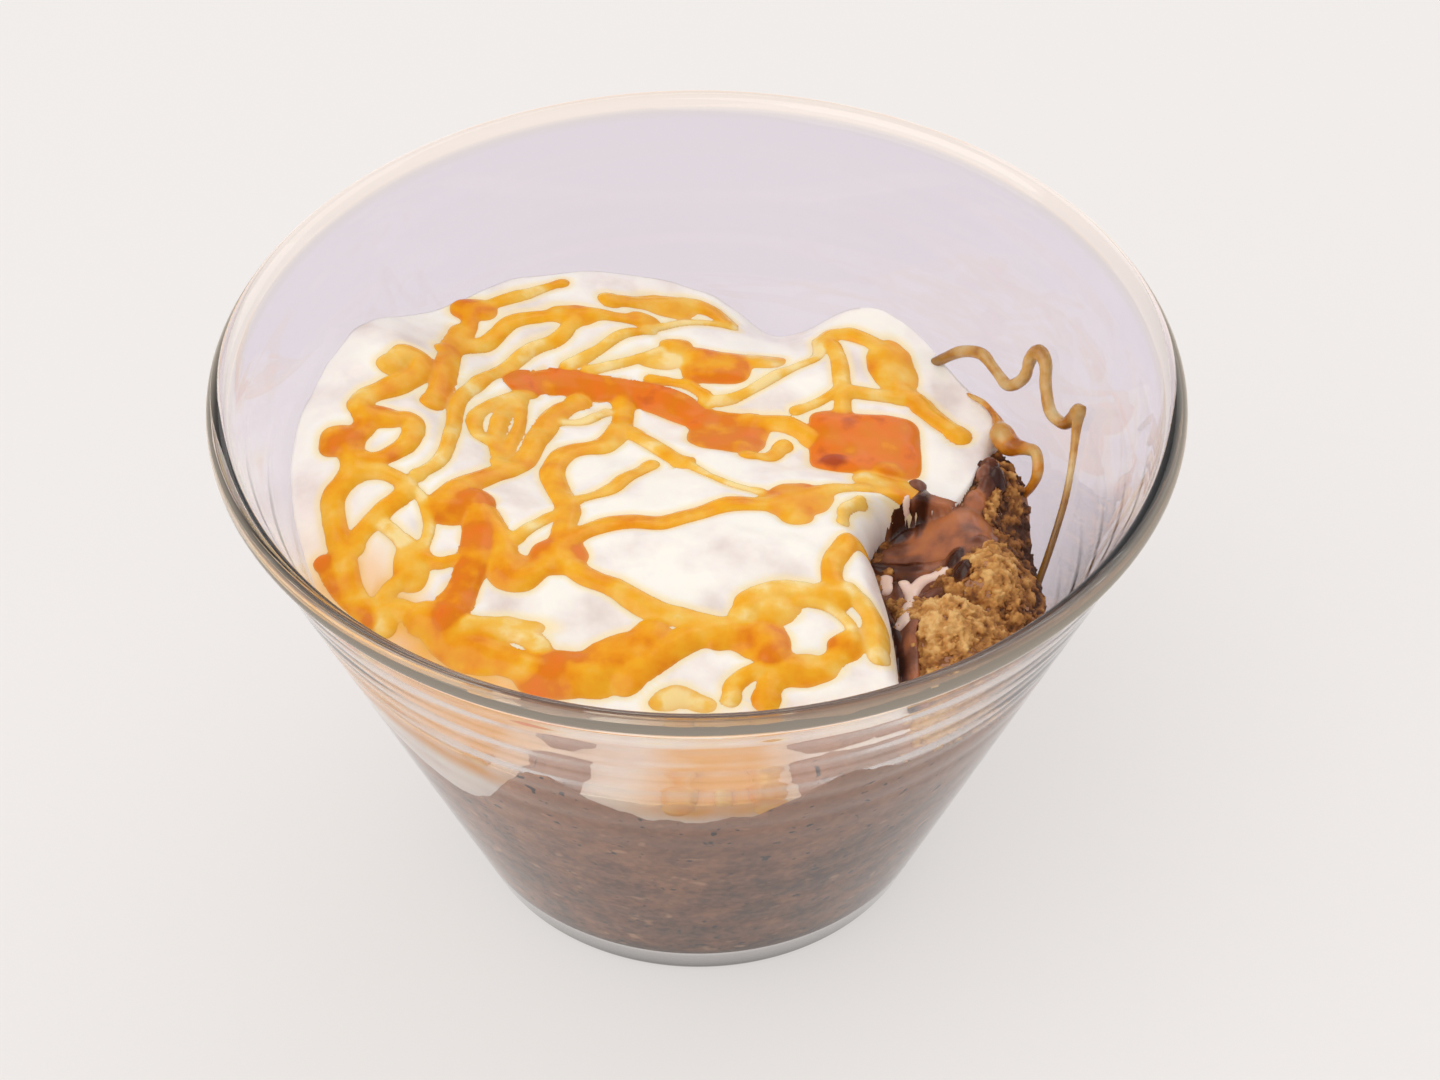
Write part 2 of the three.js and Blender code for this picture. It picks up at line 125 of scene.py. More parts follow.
# Unevenness of the cream, as (height, length along x, length along y)
CREAM_BROAD = (0.7, 10, 7)
CREAM_FINE = (0.3, 4.2, 3.2)
CREAM_SWELLS = [
    (9, -48, 9, 12, 16), (5, -46, 29, 10, 8), (3.6, -24, 45, 15, 9),
    (-3, 4, 47, 12, 9), (-7, 12.5, 52, 5.5, 7), (1.2, 27, 42, 6, 8),
    (5, -2, -14, 24, 15), (2.5, -30, -10, 12, 14), (-2.5, 3, 20, 24, 5, -18),
    (-4, 44, 14, 12, 14), (-3.5, 40, 34, 13, 10),
]
CREAM_FREE_EDGE = [
    (27.5, -46), (27, -32), (26.6, -24), (25.8, -17), (24.6, -9), (23.6, -5.5),
    (23.8, -1), (25.5, 2.5), (29, 4.2), (34.8, 5.6), (36.5, 8), (38.4, 12.3),
    (40.5, 17.5), (42.6, 24), (43, 29),
]

# Honey lines on the cream: width, depth of colour from 0 to 2, then x and y of each point in turn
HONEY_LINES = [
    (2.9, 0.5, -43, 21, -41, 24, -39, 24, -39, 21.5, -42, 17.5, -45.5, 14.5, -46.5, 12, -45.5, 10),
    (2.4, 0.55, -46, 10.5, -42, 10, -39.5, 10.5, -39, 8, -40, 5, -43, 2, -46, 2),
    (2.6, 0.8, -45, 10, -46, 7, -48, 5),
    (2.9, 0.55, -48, 4, -47, 1, -47, -1, -49, -4, -49, -7, -48, -11, -47, -15, -46, -19, -44, -22),
    (2.4, 0.4, -46.5, -1, -43.5, -0.5, -40, -2, -39.5, -4, -42.5, -7, -45, -10, -46, -12.5),
    (1.5, 0.2, -39, -2, -37, -5, -36, -9, -36.5, -12, -38, -14),
    (2.2, 0.3, -38, -17, -41, -19.5, -42, -22, -41, -25),
    (1.9, 0.1, -43, -8, -41, -10, -39, -12),
    (1.8, 0.25, -42, -23, -39.5, -22, -36, -23),
    (2.6, 0.65, -34, 35, -35, 31, -35.5, 24, -36, 20, -37, 16),
    (1.8, 0.3, -33, 40, -29, 42, -25, 44, -20, 47),
    (2.3, 0.7, -33, 39, -33, 36, -34, 33),
    (2.2, 0.5, -36, 29, -33, 32, -30, 34, -27, 38, -23, 39.5, -18, 40.5, -13, 41, -8, 41.5),
    (1.9, 0.3, -18, 39, -20, 36, -24, 33.5, -28, 29, -31, 24, -33.5, 18, -34, 10, -35, 4, -38, -0.5),
    (1.8, 0.25, -24, 25, -28, 21, -31, 16, -30.5, 12, -29, 11),
    (2.3, 0.4, -26, 22, -27.5, 17, -28, 12, -27, 6),
    (1.6, 0.4, -25, 23, -25, 16, -27, 7),
    (3.1, 0.6, -17, 25, -20, 21, -22, 15, -24, 8, -28, 3, -32, -1.5, -35, -6),
    (4.2, 1.1, -25, 27, -20, 28.5, -14, 28, -8, 27, -3, 25, 1, 22),
    (1.4, 0.5, -7, 30, -2, 29, 1, 27),
    (1.6, 0.15, 17.5, 41, 17, 36, 13, 32.5, 9, 29, 5, 26.5, 1, 26),
    (2.7, 0.55, -13, 44.5, -8, 46, -2, 48, 2, 47.5, 4, 46),
    (1.3, 0.15, -7.5, 40, -2, 43.5, 5, 45),
    (1.5, 0.2, -7, 40, -11, 37.5, -15, 34, -19, 31.5),
    (1.3, 0.1, -16, 31, -10, 33, -5.5, 35.5),
    (2.9, 0.5, -10.5, 26, -11, 19, -13, 14, -18, 11, -20, 6, -19, 1, -17.5, -4, -18, -9, -18.5, -13),
    (1.5, 0.05, -19.5, 19, -16, 20, -13, 23.5),
    (1.9, 0.3, -6.5, 9.5, -10, 5, -12, 2, -17, -1.5),
    (2.6, 0.4, -9.5, 18, -6, 14, -2, 10),
    (1.3, 0.05, -2, 10, 2, 6, 5, 3.5, 8.5, 2.5),
    (2.6, 0.55, 7, 22, 12, 21, 16, 18),
    (2.1, 0.5, 7, 13, 10, 13.5, 12, 16.5),
    (2.9, 0.55, -18, -12, -15, -9, -11, -6.5, -5, -6, 0, -3.5, 4, -1.5, 10, -0.5, 13, 1),
    (2.4, 0.4, 15, 2, 18, 4, 23, 6),
    (1.4, 0.1, 22.5, 2.5, 20.2, 0, 19.8, -3.5),
    (2.1, 0.4, 18.5, 41, 20, 36, 20.5, 30, 20.5, 23),
    (2.3, 0.4, 19, 42, 22, 41, 25, 39, 27, 37),
    (3.1, 0.5, 29, 30, 32, 27, 37, 22),
    (2.1, 0.25, 21, 28, 29, 28),
    (1.7, 0.3, 14, 23.5, 17, 25.5, 20, 28),
    (2.7, 0.45, 22.5, -7, 20.5, -8, 18.5, -12, 18, -16, 19, -20),
    (2.4, 0.2, 20, -18.5, 22.5, -21, 24, -24, 24, -29),
    (3.0, 0.2, 6, -24, 7, -21, 9, -19.5, 12, -18.5, 17, -19),
    (1.5, 0.1, 13.5, -20.5, 17, -21, 20, -23.5, 20.5, -27),
    (2.7, 0.5, 20, -27, 19, -29, 16, -31.5, 12, -32.5),
    (2.9, 0.45, -18, -14, -15, -17.5, -11, -19.5, -6, -23, -1, -24.5, 5, -26),
    (3.7, 0.8, 2.5, -26.5, 8, -27, 10, -30),
    (3.4, 0.6, 4, -26, -1, -27.5, -6, -31.5, -9, -34),
    (3.8, 0.7, -6, -27, -9, -30, -14, -34),
    (4.1, 0.65, -36, -24, -32, -28, -27, -30, -21, -32.5, -16, -34),
    (2.3, 0.2, -30, -25.5, -24, -26.5, -20.5, -29),
    (4.1, 1.05, -30, -4, -29, -9, -30, -16, -32, -22, -33.5, -25),
    (3.1, 0.65, -28.5, -7, -26, -12, -25.5, -17, -23, -18, -20, -15.5),
    (1.8, 0.3, -24.5, -11, -21, -7, -18, -4),
    (1.5, 0.5, -36.5, -14.5, -34.5, -15.5, -32, -15),
    (2.9, 0.7, 13, -32, 10, -34, 9, -37),
    (2.1, 0.35, 12, -32.5, 8, -32.5, 5, -34.5, 4.5, -37),
    (2.0, 1.0, -50, -14, -48.5, -17.5, -46, -21, -43, -23.5),
]
# Pools of honey: x, y, half length, half width, height, depth of colour, then turn in degrees and
# squareness where they aren't 0 and 2
HONEY_POOLS = [
    (-32.5, 40, 3.4, 2.3, 0.7, 0.8, 0, 2.5), (-48.5, 5, 3.2, 2.9, 0.8, 0.85, 0, 3),
    (-43.5, 10, 3.6, 2.4, 0.7, 0.9), (-38, -15.5, 2.5, 4.2, 0.7, 0.5, 0, 2.5),
    (-18.3, 40.3, 4, 2.1, 0.6, 0.6), (-32.5, -5, 4.6, 3.4, 0.8, 0.95, 40),
    (2.5, 33, 5, 4, 0.8, 0.8, 0, 4), (9, 34.8, 3.6, 2.6, 0.6, 0.35, 5),
    (-3.3, 37, 2.4, 2.1, 0.7, 0.6), (-8, 42, 2.4, 1.5, 0.6, 0.6),
    (-4.8, 46.3, 4.5, 2.4, 0.6, 0.45), (-5, 33.8, 4, 2, 0.3, 0.05),
    (4.2, 19, 5.6, 5.2, 0.9, 0.95, -12, 3), (13.5, 0.8, 5.4, 4, 0.8, 0.65, 25),
    (13.3, -3, 2.4, 2.2, 0.6, 0.6), (26.2, 8, 5, 3.4, 0.7, 0.5, -30, 2.5),
    (23.5, 17.2, 7.9, 6.7, 1.0, 1.2, 0, 6), (19.4, 13, 3, 2, 1.3, 1.7),
    (26.4, 12, 3.2, 2, 1.3, 0.7), (27.9, 34, 3.6, 5.8, 0.8, 0.5, 12),
    (9.7, -21.8, 4, 3.2, 0.5, 0.2), (8.5, -27.5, 4, 3.4, 0.8, 0.85, -20),
    (19.5, -28, 2.4, 2.4, 0.7, 0.75), (14, -32, 4.8, 2.6, 0.6, 0.45, 10),
    (-18.5, -33, 5.2, 4, 0.9, 1.1, 0, 2.5), (-11, -31.5, 6.4, 4.2, 0.7, 0.75, 30, 2.5),
    (-18.5, -14, 4, 3.6, 0.8, 0.85), (-3.4, -37, 3, 1.8, 0.25, 0.1, 20),
    (0.4, -37.6, 2.4, 1.4, 0.25, 0.2, -15), (-25, -16.5, 3, 3.2, 0.7, 0.7),
    (23.3, -26, 1.8, 3.4, 0.3, 0.05), (-30, -28.5, 6, 3.6, 0.7, 0.6, -30, 2.5),
    (-26, -26, 6, 1.8, 0.4, 0.15), (-40, -22.5, 3, 2, 0.5, 0.3),
]
# Dark syrup on the open mash, as the honey is given; the depth of colour is 1 where it is nearly black
SYRUP_LINES = [
    (1.5, 0.9, 24.6, -8.5, 25.4, -12, 26.2, -16, 26.8, -21, 27.2, -25, 27.4, -32),
    (1.8, 0.3, 28.6, -18, 28.4, -23, 28.6, -30),
    (1.5, 1.0, 24.8, -2.2, 27.5, -2.6, 30, -2.9),
    (1.3, 0.4, 30, -2.6, 33, -3, 35, -3.4),
]
SYRUP_POOLS = [
    (34.4, 2.6, 6.4, 4.8, 0.5, 0.1, 0, 2.5), (31, 5, 1.1, 3.4, 0.8, 1.0, -8),
    (28.6, 3.5, 2.2, 1.2, 0.8, 0.9, 25), (28, 0.8, 2.8, 1.2, 0.6, 0.5, 10),
    (28.6, -1, 3.4, 1.1, 0.5, 0.3), (27.4, -6.8, 0.9, 2.3, 0.8, 0.8),
    (31.8, -8.8, 1.9, 1.3, 0.8, 0.75, 10), (35.3, -3, 1.2, 2.2, 0.9, 1.0, -20),
    (36.1, -6.6, 1.3, 2.1, 1.0, 0.9, -8), (39.1, 0, 1.6, 1.3, 0.8, 0.35),
    (41, 15.6, 1.7, 1.3, 1.5, 0.9, 20), (42, 12.8, 1.5, 1.6, 1.7, 1.2),
    (40.5, 11.4, 1.3, 1.4, 1.3, 0.8), (40.2, 13.6, 1.2, 1.5, 1.2, 0.6),
    (38.8, 9, 1.6, 2, 0.7, 0.2), (30.6, 9.4, 1.3, 1.6, 0.7, 0.7),
    (29, -6, 3.2, 3.4, 0.5, 0.6),
]
# Pale pinkish streaks laid over the syrup
STREAK_LINES = [
    (1.5, 0.5, 33.4, -5, 31, -5.8, 29.7, -7.5, 28.9, -10.5, 28.2, -13.5, 27.6, -17),
    (1.3, 0.5, 28.3, -6.2, 28.8, -8, 29.2, -9.5),
    (1.4, 0.5, 25.9, -4.6, 25.8, -7),
    (0.8, 0.5, 29.2, 6.8, 28.8, 4.6),
]
# What is poured: a line's height and its rise with half its width, its spread and roundness, how deep
# the body reaches, how softly lines and pools run together, and the spacing of points
POUR_BASE = 0.2
POUR_RISE = 0.28
POUR_SPREAD = 1.13
POUR_ROUND = 2.6
POUR_UNDER = 0.4
POUR_FLOOR = 0.15
POUR_BLEND = 0.16
HONEY_CELL = 0.33
SYRUP_CELL = 0.25
STREAK_CELL = 0.2
POUR_SPACING = 0.4
WIDEST_HALF = 4.2
SINK_DEPTH = 0.35
SINK_FADE = (-0.6, 1.9)
MOST_SWELLING = 1.2
BEND_SWELLING = 0.2
UNEVEN_SWELLING = 0.2
# Unevenness in depth of colour of lines and of pools, and in height, as (strength, length)
LINE_SHADES = (0.3, 4)
POOL_SHADES = (0.35, 3.5)
POUR_GRAIN = (0.08, 1.9)
HONEY_OVER_MASH = 0.3
SYRUP_OVER_MASH = 0.6
CREAM_AREA = (-56, 45, -47, 54)
OPEN_AREA = (20, 50, -40, 22)

# How far honey on the glass is set in from it, as a share of its width
STRAND_INSET = 0.36
FRONT_INSET = 0.28
# Honey on the inside of the glass, as (direction in degrees, height, width) points
LONG_STRAND = [
    (48.7, 52.9, 1.3), (46, 55.2, 1.5), (42.9, 57.7, 1.6), (39.1, 59.1, 1.6),
    (35.6, 58.5, 1.6), (31.7, 58.1, 1.6), (29.3, 60.7, 1.6), (29.6, 63.4, 1.7),
    (28.5, 65.3, 2.0), (26.3, 64.8, 1.7), (24.2, 62.4, 1.6), (20.5, 60.5, 1.6),
    (16.1, 61.7, 1.6), (15.2, 64.2, 1.7), (14.4, 65.3, 1.8), (13.4, 63.2, 1.4),
    (9.1, 58.8, 1.1), (6.1, 55.8, 1.1), (3, 51.8, 1.1), (-0.1, 47.7, 1.1),
    (-3.3, 43.8, 1.2),
]
SHORT_STRAND = [
    (43, 51.3, 1.1), (39.4, 52.5, 0.9), (35.5, 53.2, 0.9), (31.8, 52.9, 1.1),
    (28.3, 52.5, 3.2), (25.3, 52.3, 3.0), (22, 53.6, 1.9), (19.4, 54.5, 1.5),
    (16.8, 53.2, 1.5), (16.5, 51, 1.2), (17.4, 48.4, 1.2), (18.5, 45.4, 1.5),
    (18.7, 43.4, 2.3),
]
# Honey that has run down between the cream and the front glass
FRONT_RUNS = [
    [(-92.4, 59.4, 3), (-92.2, 58.4, 4.2), (-92.6, 56.8, 4.2), (-92.9, 55.2, 3.2), (-93, 54.2, 1.8)],
    [(-79.4, 59.4, 3.4), (-79.9, 58.4, 4.8), (-79.7, 56.8, 4.8), (-80.2, 55, 3.6), (-80.3, 53.8, 2)],
    [(-86, 59.2, 2), (-86.3, 58.4, 2.2), (-86.2, 57.2, 1.4)],
    [(-123, 59.6, 2.2), (-121.2, 58.7, 2.5), (-119.4, 59.8, 2)],
]
# Where honey and painted shade warm the cream behind the front glass, as (direction in degrees, share,
# width in degrees)
FILM_AND_SHADE_PLACES = [
    (-87, 1.0, 7), (-125, 0.85, 8), (-148, 0.8, 11),
]
FILM_AND_SHADE_EVERYWHERE = 0.22
# Directions over which that honey and painted shade begin and end, their fade from the glass inwards, and
# their rise
FILM_AND_SHADE_BEGINS = (-175, -150)
FILM_AND_SHADE_ENDS = (-66, -50)
FILM_AND_SHADE_FADE = (8, 15)
FILM_AND_SHADE_RISE = (51, 56)
# How wide the stain beside the honey is
STAIN_WIDTH = 1.2
# Syrup that has smeared between the mash and the front glass
FRONT_SMEAR = [
    [(-70, 60, 1), (-66.5, 57.6, 2.2), (-63.5, 58.6, 2.6), (-61, 56.6, 1.6)],
    [(-67, 55.8, 0.9), (-63, 56.6, 1.3), (-60, 58.6, 1)],
]


def inner_radius(z):
    return BASE_RADIUS + (RIM_RADIUS - BASE_RADIUS) * z / BOWL_HEIGHT - WALL


def outer_radius(z):
    return inner_radius(z) + WALL


LEAN = math.atan((RIM_RADIUS - BASE_RADIUS) / BOWL_HEIGHT)


def smooth(low, high, value):
    share = min(1.0, max(0.0, (value - low) / (high - low)))
    return share * share * (3 - 2 * share)


def turned(x, y, turn):
    """A step over the ground, as seen by something turned by so many degrees."""
    angle = math.radians(turn)
    return x * math.cos(angle) + y * math.sin(angle), y * math.cos(angle) - x * math.sin(angle)


def uneven(x, y, grain, seed):
    strength, length = grain
    return strength * noise.noise(Vector((x / length, y / length, seed)))


def bump(x, y, middle_x, middle_y, along, across, turn=0):
    u, v = turned(x - middle_x, y - middle_y, turn)
    return math.exp(-0.5 * ((u / along) ** 2 + (v / across) ** 2))


def mash_height(x, y):
    height = MASH_LEVEL
    for rise, *place in MASH_SWELLS:
        height += rise * bump(x, y, *place)
    wall = inner_radius(MASH_LEVEL)
    near_wall = smooth(wall - TIDE_REACH, wall, math.hypot(x, y))
    if near_wall > 0:
        direction = math.degrees(math.atan2(y, x))
        for middle, rise, width in WALL_TIDES:
            height += near_wall * rise * math.exp(-0.5 * ((direction - middle) / width) ** 2)
    return height


def cream_level(x, y):
    height = CREAM_LEVEL
    for rise, *place in CREAM_SWELLS:
        height += rise * bump(x, y, *place)
    return height


def wall_reach(direction):
    """How far the glass lies from the middle of the cream, at the height of its top."""
    along = Vector((math.cos(direction), math.sin(direction)))
    height = CREAM_LEVEL
    for _ in range(6):
        ahead = CREAM_MIDDLE.dot(along)
        radius = inner_radius(height)
        reach = math.sqrt(ahead**2 + radius**2 - CREAM_MIDDLE.length_squared) - ahead
        edge = CREAM_MIDDLE + reach * along
        height = cream_level(edge.x, edge.y)
    return reach


def free_edge_reach(direction):
    """How far the free edge lies from the middle of the cream, or far off where there is none."""
    along = Vector((math.cos(direction), math.sin(direction)))
    corners = [Vector(corner) - CREAM_MIDDLE for corner in CREAM_FREE_EDGE]
    for first, second in zip(corners, corners[1:]):
        run = second - first
        facing = along.x * run.y - along.y * run.x
        if facing <= 0:
            continue
        part = -(along.x * first.y - along.y * first.x) / facing
        if 0 <= part <= 1:
            return (first + part * run).dot(along)
    return 10 * RIM_RADIUS


REACH_STEPS = 1440


def reach_table():
    rows = []
    for step in range(REACH_STEPS):
        direction = math.tau * step / REACH_STEPS
        wall = wall_reach(direction)
        free = free_edge_reach(direction)
        rows.append((min(wall, free), smooth(0, FREE_FROM_GLASS, wall - free)))
    return rows


REACHES = reach_table()


def cream_reach(x, y):
    """Reach of the cream towards a place, and 1 where its edge is free, 0 where it meets the glass."""
    direction = math.atan2(y - CREAM_MIDDLE.y, x - CREAM_MIDDLE.x) % math.tau
    step = direction / math.tau * REACH_STEPS
    low = int(step) % REACH_STEPS
    high = (low + 1) % REACH_STEPS
    part = step - int(step)
    return [a + (b - a) * part for a, b in zip(REACHES[low], REACHES[high])]


def from_middle(x, y):
    return math.hypot(x - CREAM_MIDDLE.x, y - CREAM_MIDDLE.y)


def cream_relief(x, y):
    """Soft unevenness of spooned cream."""
    relief = 0
    for (height, along, across), seed in ((CREAM_BROAD, 3.1), (CREAM_FINE, 7.7)):
        relief += height * noise.noise(Vector((x / along, y / across, seed)))
    return relief


def cream_height(x, y):
    reach, is_open = cream_reach(x, y)
    near_edge = min(1.0, max(0.0, 1 - (reach - from_middle(x, y)) / EDGE_ROUND))
    level = cream_level(x, y) + cream_relief(x, y)
    if near_edge <= 0 or is_open <= 0:
        return level
    drop = is_open * (1 - math.sqrt(1 - near_edge**2))
    return level - drop * max(0.0, level - mash_height(x, y) - EDGE_FOOT)


def leave_editing():
    if bpy.context.mode != "OBJECT":
        bpy.ops.object.mode_set(mode="OBJECT")


def select_nothing():
    leave_editing()
    bpy.ops.object.select_all(action="DESELECT")


def select_only(*chosen):
    select_nothing()
    for piece in chosen:
        piece.select_set(True)
    bpy.context.view_layer.objects.active = chosen[0]


def edit(piece, action):
    """Goes into edit mode on a piece with all or nothing of it selected."""
    select_only(piece)
    bpy.ops.object.mode_set(mode="EDIT")
    bpy.ops.mesh.select_all(action=action)


def named(name):
    """The piece that is being modelled, out of edit mode and with its name."""
    leave_editing()
    piece = bpy.context.object
    piece.name = name
    piece.data.name = name
    return piece


def face_outwards(piece):
    edit(piece, "SELECT")
    bpy.ops.mesh.normals_make_consistent(inside=False)
    leave_editing()


def shape_with(piece, kind, **settings):
    """Adds a modifier and applies it."""
    modifier = piece.modifiers.new(kind.lower(), kind)
    for key, value in settings.items():
        setattr(modifier, key, value)
    select_only(piece)
    bpy.ops.object.modifier_apply(modifier=modifier.name)


def settle(piece):
    """Takes a piece's place, turn and size into its mesh."""
    select_only(piece)
    bpy.ops.object.transform_apply(location=True, rotation=True, scale=True)


def turned_body(name, profile, sides):
    """A closed profile of (radius, height), drawn by extruding one corner and spun round the axis."""
    select_nothing()
    bpy.ops.mesh.primitive_plane_add(size=1, enter_editmode=True)
    bpy.ops.mesh.merge(type="CENTER")
    bpy.ops.transform.translate(value=(profile[0][0], 0, profile[0][1]))
    for before, after in zip(profile, profile[1:]):
        step = (after[0] - before[0], 0, after[1] - before[1])
        bpy.ops.mesh.extrude_region_move(TRANSFORM_OT_translate={"value": step})
    bpy.ops.mesh.select_all(action="SELECT")
    bpy.ops.mesh.spin(steps=sides, angle=math.tau, center=(0, 0, 0), axis=(0, 0, 1))
    bpy.ops.mesh.select_all(action="SELECT")
    bpy.ops.mesh.remove_doubles(threshold=0.001)
    bpy.ops.mesh.normals_make_consistent(inside=False)
    return named(name)


def rounded_corner(radius, floor, wall_radius, steps):
    """Points of a profile from a flat floor round to the leaning wall."""
    join = floor + radius * (1 - math.sin(LEAN))
    centre = wall_radius(join) - radius * math.cos(LEAN)
    angles = [-math.pi / 2 + (math.pi / 2 - LEAN) * i / steps for i in range(steps + 1)]
    return [(centre + radius * math.cos(a), floor + radius * (1 + math.sin(a))) for a in angles]


def bowl_profile():
    profile = [(0, 0)] + rounded_corner(HEEL_RADIUS, 0, outer_radius, 6)
    lowest = FIRST_RING - RING_PITCH / 2
    for step in range(RING_COUNT * RING_STEPS + 1):
        z = lowest + RING_PITCH * step / RING_STEPS
        groove = (0.5 + 0.5 * math.cos(math.tau * step / RING_STEPS)) ** 2
        relief = RING_RELIEF * (FAINT_RINGS + (1 - FAINT_RINGS) * smooth(*RINGS_GROW, z))
        profile.append((outer_radius(z) - relief * groove, z))
    profile += [(outer_radius(z), z) for z in TOP_OUTSIDE]
    for turn in range(-BEAD_START, 180 + BEAD_STEP, BEAD_STEP):
        angle = math.radians(turn)
        x = RIM_RADIUS - RIM_BEAD + RIM_BEAD * math.cos(angle)
        profile.append((x, BOWL_HEIGHT - RIM_BEAD + RIM_BEAD * math.sin(angle)))
    profile += [(inner_radius(z), z) for z in TOP_INSIDE]
    profile += rounded_corner(INNER_CORNER, FLOOR, inner_radius, 8)[::-1]
    return profile + [(0, FLOOR)]


def clear_bowl():
    """The pressed glass bowl, with a painted glow along the edge of its rim standing in for light that its
    wall carries.
    """
    piece = turned_body("clear_bowl", bowl_profile(), BOWL_SIDES)
    looks = {look: [] for look in ("edge", "heel", "bead", "front")}
    for vertex in piece.data.vertices:
        x, y, z = vertex.co
        radius = math.hypot(x, y)
        # Painted glow: where the rim's edge gives out light of its own, standing in for light that the
        # wall carries
        looks["edge"].append(smooth(*EDGE_OUTWARD, radius) * smooth(*EDGE_RISE, z))
        # Painted shade: the glass at the heel is darkened as if the floor under it lay in shadow
        looks["heel"].append(1 - smooth(*HEEL_FADE, z))
        # Painted shade: the top of the rim's bead is darkened, standing in for the dark line that light
        # through the rim shows
        looks["bead"].append(smooth(*BEAD_RISE, z))
        # Painted shade: the glass towards the front is darker and warmer, standing in for the shade on
        # what is seen through it
        looks["front"].append(smooth(*FRONT_TURN, -y / max(radius, 1)))
        groove = outer_radius(z) - radius
        if 0 < groove < WALL / 2 and RINGED_HEIGHTS[0] < z < RINGED_HEIGHTS[1]:
            worn = (1 - SIDE_RINGS) * (1 - smooth(*WORN_TURN, -y / radius))
            out = 1 + worn * groove / radius
            vertex.co = (x * out, y * out, z)
    for look, values in looks.items():
        write_attribute(piece, look, values)
    return piece


def room_in_glass(reach):
    """The inside of the bowl, let out by a reach into its wall and floor."""
    corner = rounded_corner(INNER_CORNER + reach, FLOOR - reach, lambda z: inner_radius(z) + reach, 8)
    profile = [(0, FLOOR - reach)] + corner
    z = math.ceil(corner[-1][1]) + 1
    while z < BOWL_HEIGHT - 2:
        profile.append((inner_radius(z) + reach, z))
        z += 1
    return turned_body("room", profile + [(0, z - 1)], 240)


def keep_in_glass(piece, reach):
    room = room_in_glass(reach)
    shape_with(piece, "BOOLEAN", operation="INTERSECT", object=room, solver="MANIFOLD")
    bpy.data.objects.remove(room)


def ringed_disc(name, sides, rings):
    """A flat disc of radius 1, made by extruding its rim inwards ring by ring."""
    select_nothing()
    bpy.ops.mesh.primitive_circle_add(vertices=sides, radius=1, enter_editmode=True)
    for ring in range(rings, 1, -1):
        share = (ring - 1) / ring
        bpy.ops.mesh.extrude_region_move()
        bpy.ops.transform.resize(value=(share, share, 1))
    bpy.ops.mesh.extrude_region_move()
    bpy.ops.mesh.merge(type="CENTER")
    return named(name)


def block_under(piece, bottom):
    """Gives a sheet an upright side down to a flat bottom, and closes it."""
    edit(piece, "DESELECT")
    bpy.ops.mesh.select_non_manifold()
    bpy.ops.mesh.extrude_region_move()
    leave_editing()
    for vertex in piece.data.vertices:
        if vertex.select:
            vertex.co.z = bottom
    bpy.ops.object.mode_set(mode="EDIT")
    bpy.ops.mesh.edge_face_add()
    face_outwards(piece)


def write_attribute(piece, name, values):
    layer = piece.data.attributes.new(name, "FLOAT", "POINT")
    layer.data.foreach_set("value", values)


def path_through(points, spacing):
    """Evenly spaced points on a smooth curve through the given ones."""
    ends = [2 * points[0] - points[1]] + points + [2 * points[-1] - points[-2]]
    path = []
    for before, first, second, after in zip(ends, ends[1:], ends[2:], ends[3:]):
        steps = max(2, round((second - first).length / spacing))
        for step in range(steps):
            t = step / steps
            path.append(0.5 * (
                2 * first
                + (second - before) * t
                + (2 * before - 5 * first + 4 * second - after) * t**2
                + (3 * first - before - 3 * second + after) * t**3
            ))
    return path + [points[-1]]


def swelling(path, number):
    """How much wider a poured line is at each of its points: more in its bends, and uneven all along."""
    shares = []
    for i, point in enumerate(path):
        before = path[max(0, i - 3)]
        after = path[min(len(path) - 1, i + 3)]
        bend = ((before + after) / 2 - point).length
        along = UNEVEN_SWELLING * noise.noise(Vector((i * 0.06, number * 3.7, 0.5)))
        shares.append(min(MOST_SWELLING, 1 + min(BEND_SWELLING, bend / 2) + along))
    return shares


def pour_samples(lines):
    """Points along poured lines, each with its line, half width and depth of colour, and their tree."""
    samples = []
    for number, (width, depth, *course) in enumerate(lines):
        points = [Vector(point) for point in zip(course[::2], course[1::2])]
        path = path_through(points, POUR_SPACING)
        for point, share in zip(path, swelling(path, number)):
            shade = uneven(point.x, point.y, LINE_SHADES, number)
            samples.append((point, number, 0.5 * POUR_SPREAD * width * share, max(0.0, depth + shade)))
    tree = kdtree.KDTree(len(samples))
    for i, sample in enumerate(samples):
        tree.insert((sample[0].x, sample[0].y, 0), i)
    tree.balance()
    return samples, tree


HONEY = pour_samples(HONEY_LINES)


def in_pool(x, y, middle_x, middle_y, half_length, half_width, height, depth, turn=0, square=2):
    """Where a place lies in a pool, 0 in its middle and 1 on its edge, its rise there and its depth."""
    share = 2.0
    if max(abs(x - middle_x), abs(y - middle_y)) <= 3 * max(half_length, half_width):
        u, v = turned(x - middle_x, y - middle_y, turn)
        share = (abs(u / half_length) ** square + abs(v / half_width) ** square) ** (1 / square)
    return share, height * (1 - min(2.0, share) ** square), depth


def beside_honey(x, y):
    """Distance from the edge of the nearest honey, below 0 inside it."""
    samples, tree = HONEY
    _, i, distance = tree.find((x, y, 0))
    beside = distance - samples[i][2]
    for pool in HONEY_POOLS:
        beside = min(beside, (in_pool(x, y, *pool)[0] - 1) * min(pool[2:4]))
    return beside


def cream_top(x, y):
    """The cream gives way a little under the honey that lies on it."""
    return cream_height(x, y) - SINK_DEPTH * (1 - smooth(*SINK_FADE, beside_honey(x, y)))


def honey_ground(x, y):
    reach, is_open = cream_reach(x, y)
    if from_middle(x, y) < reach or is_open < 0.5:
        return cream_top(x, y)
    return mash_height(x, y) + HONEY_OVER_MASH


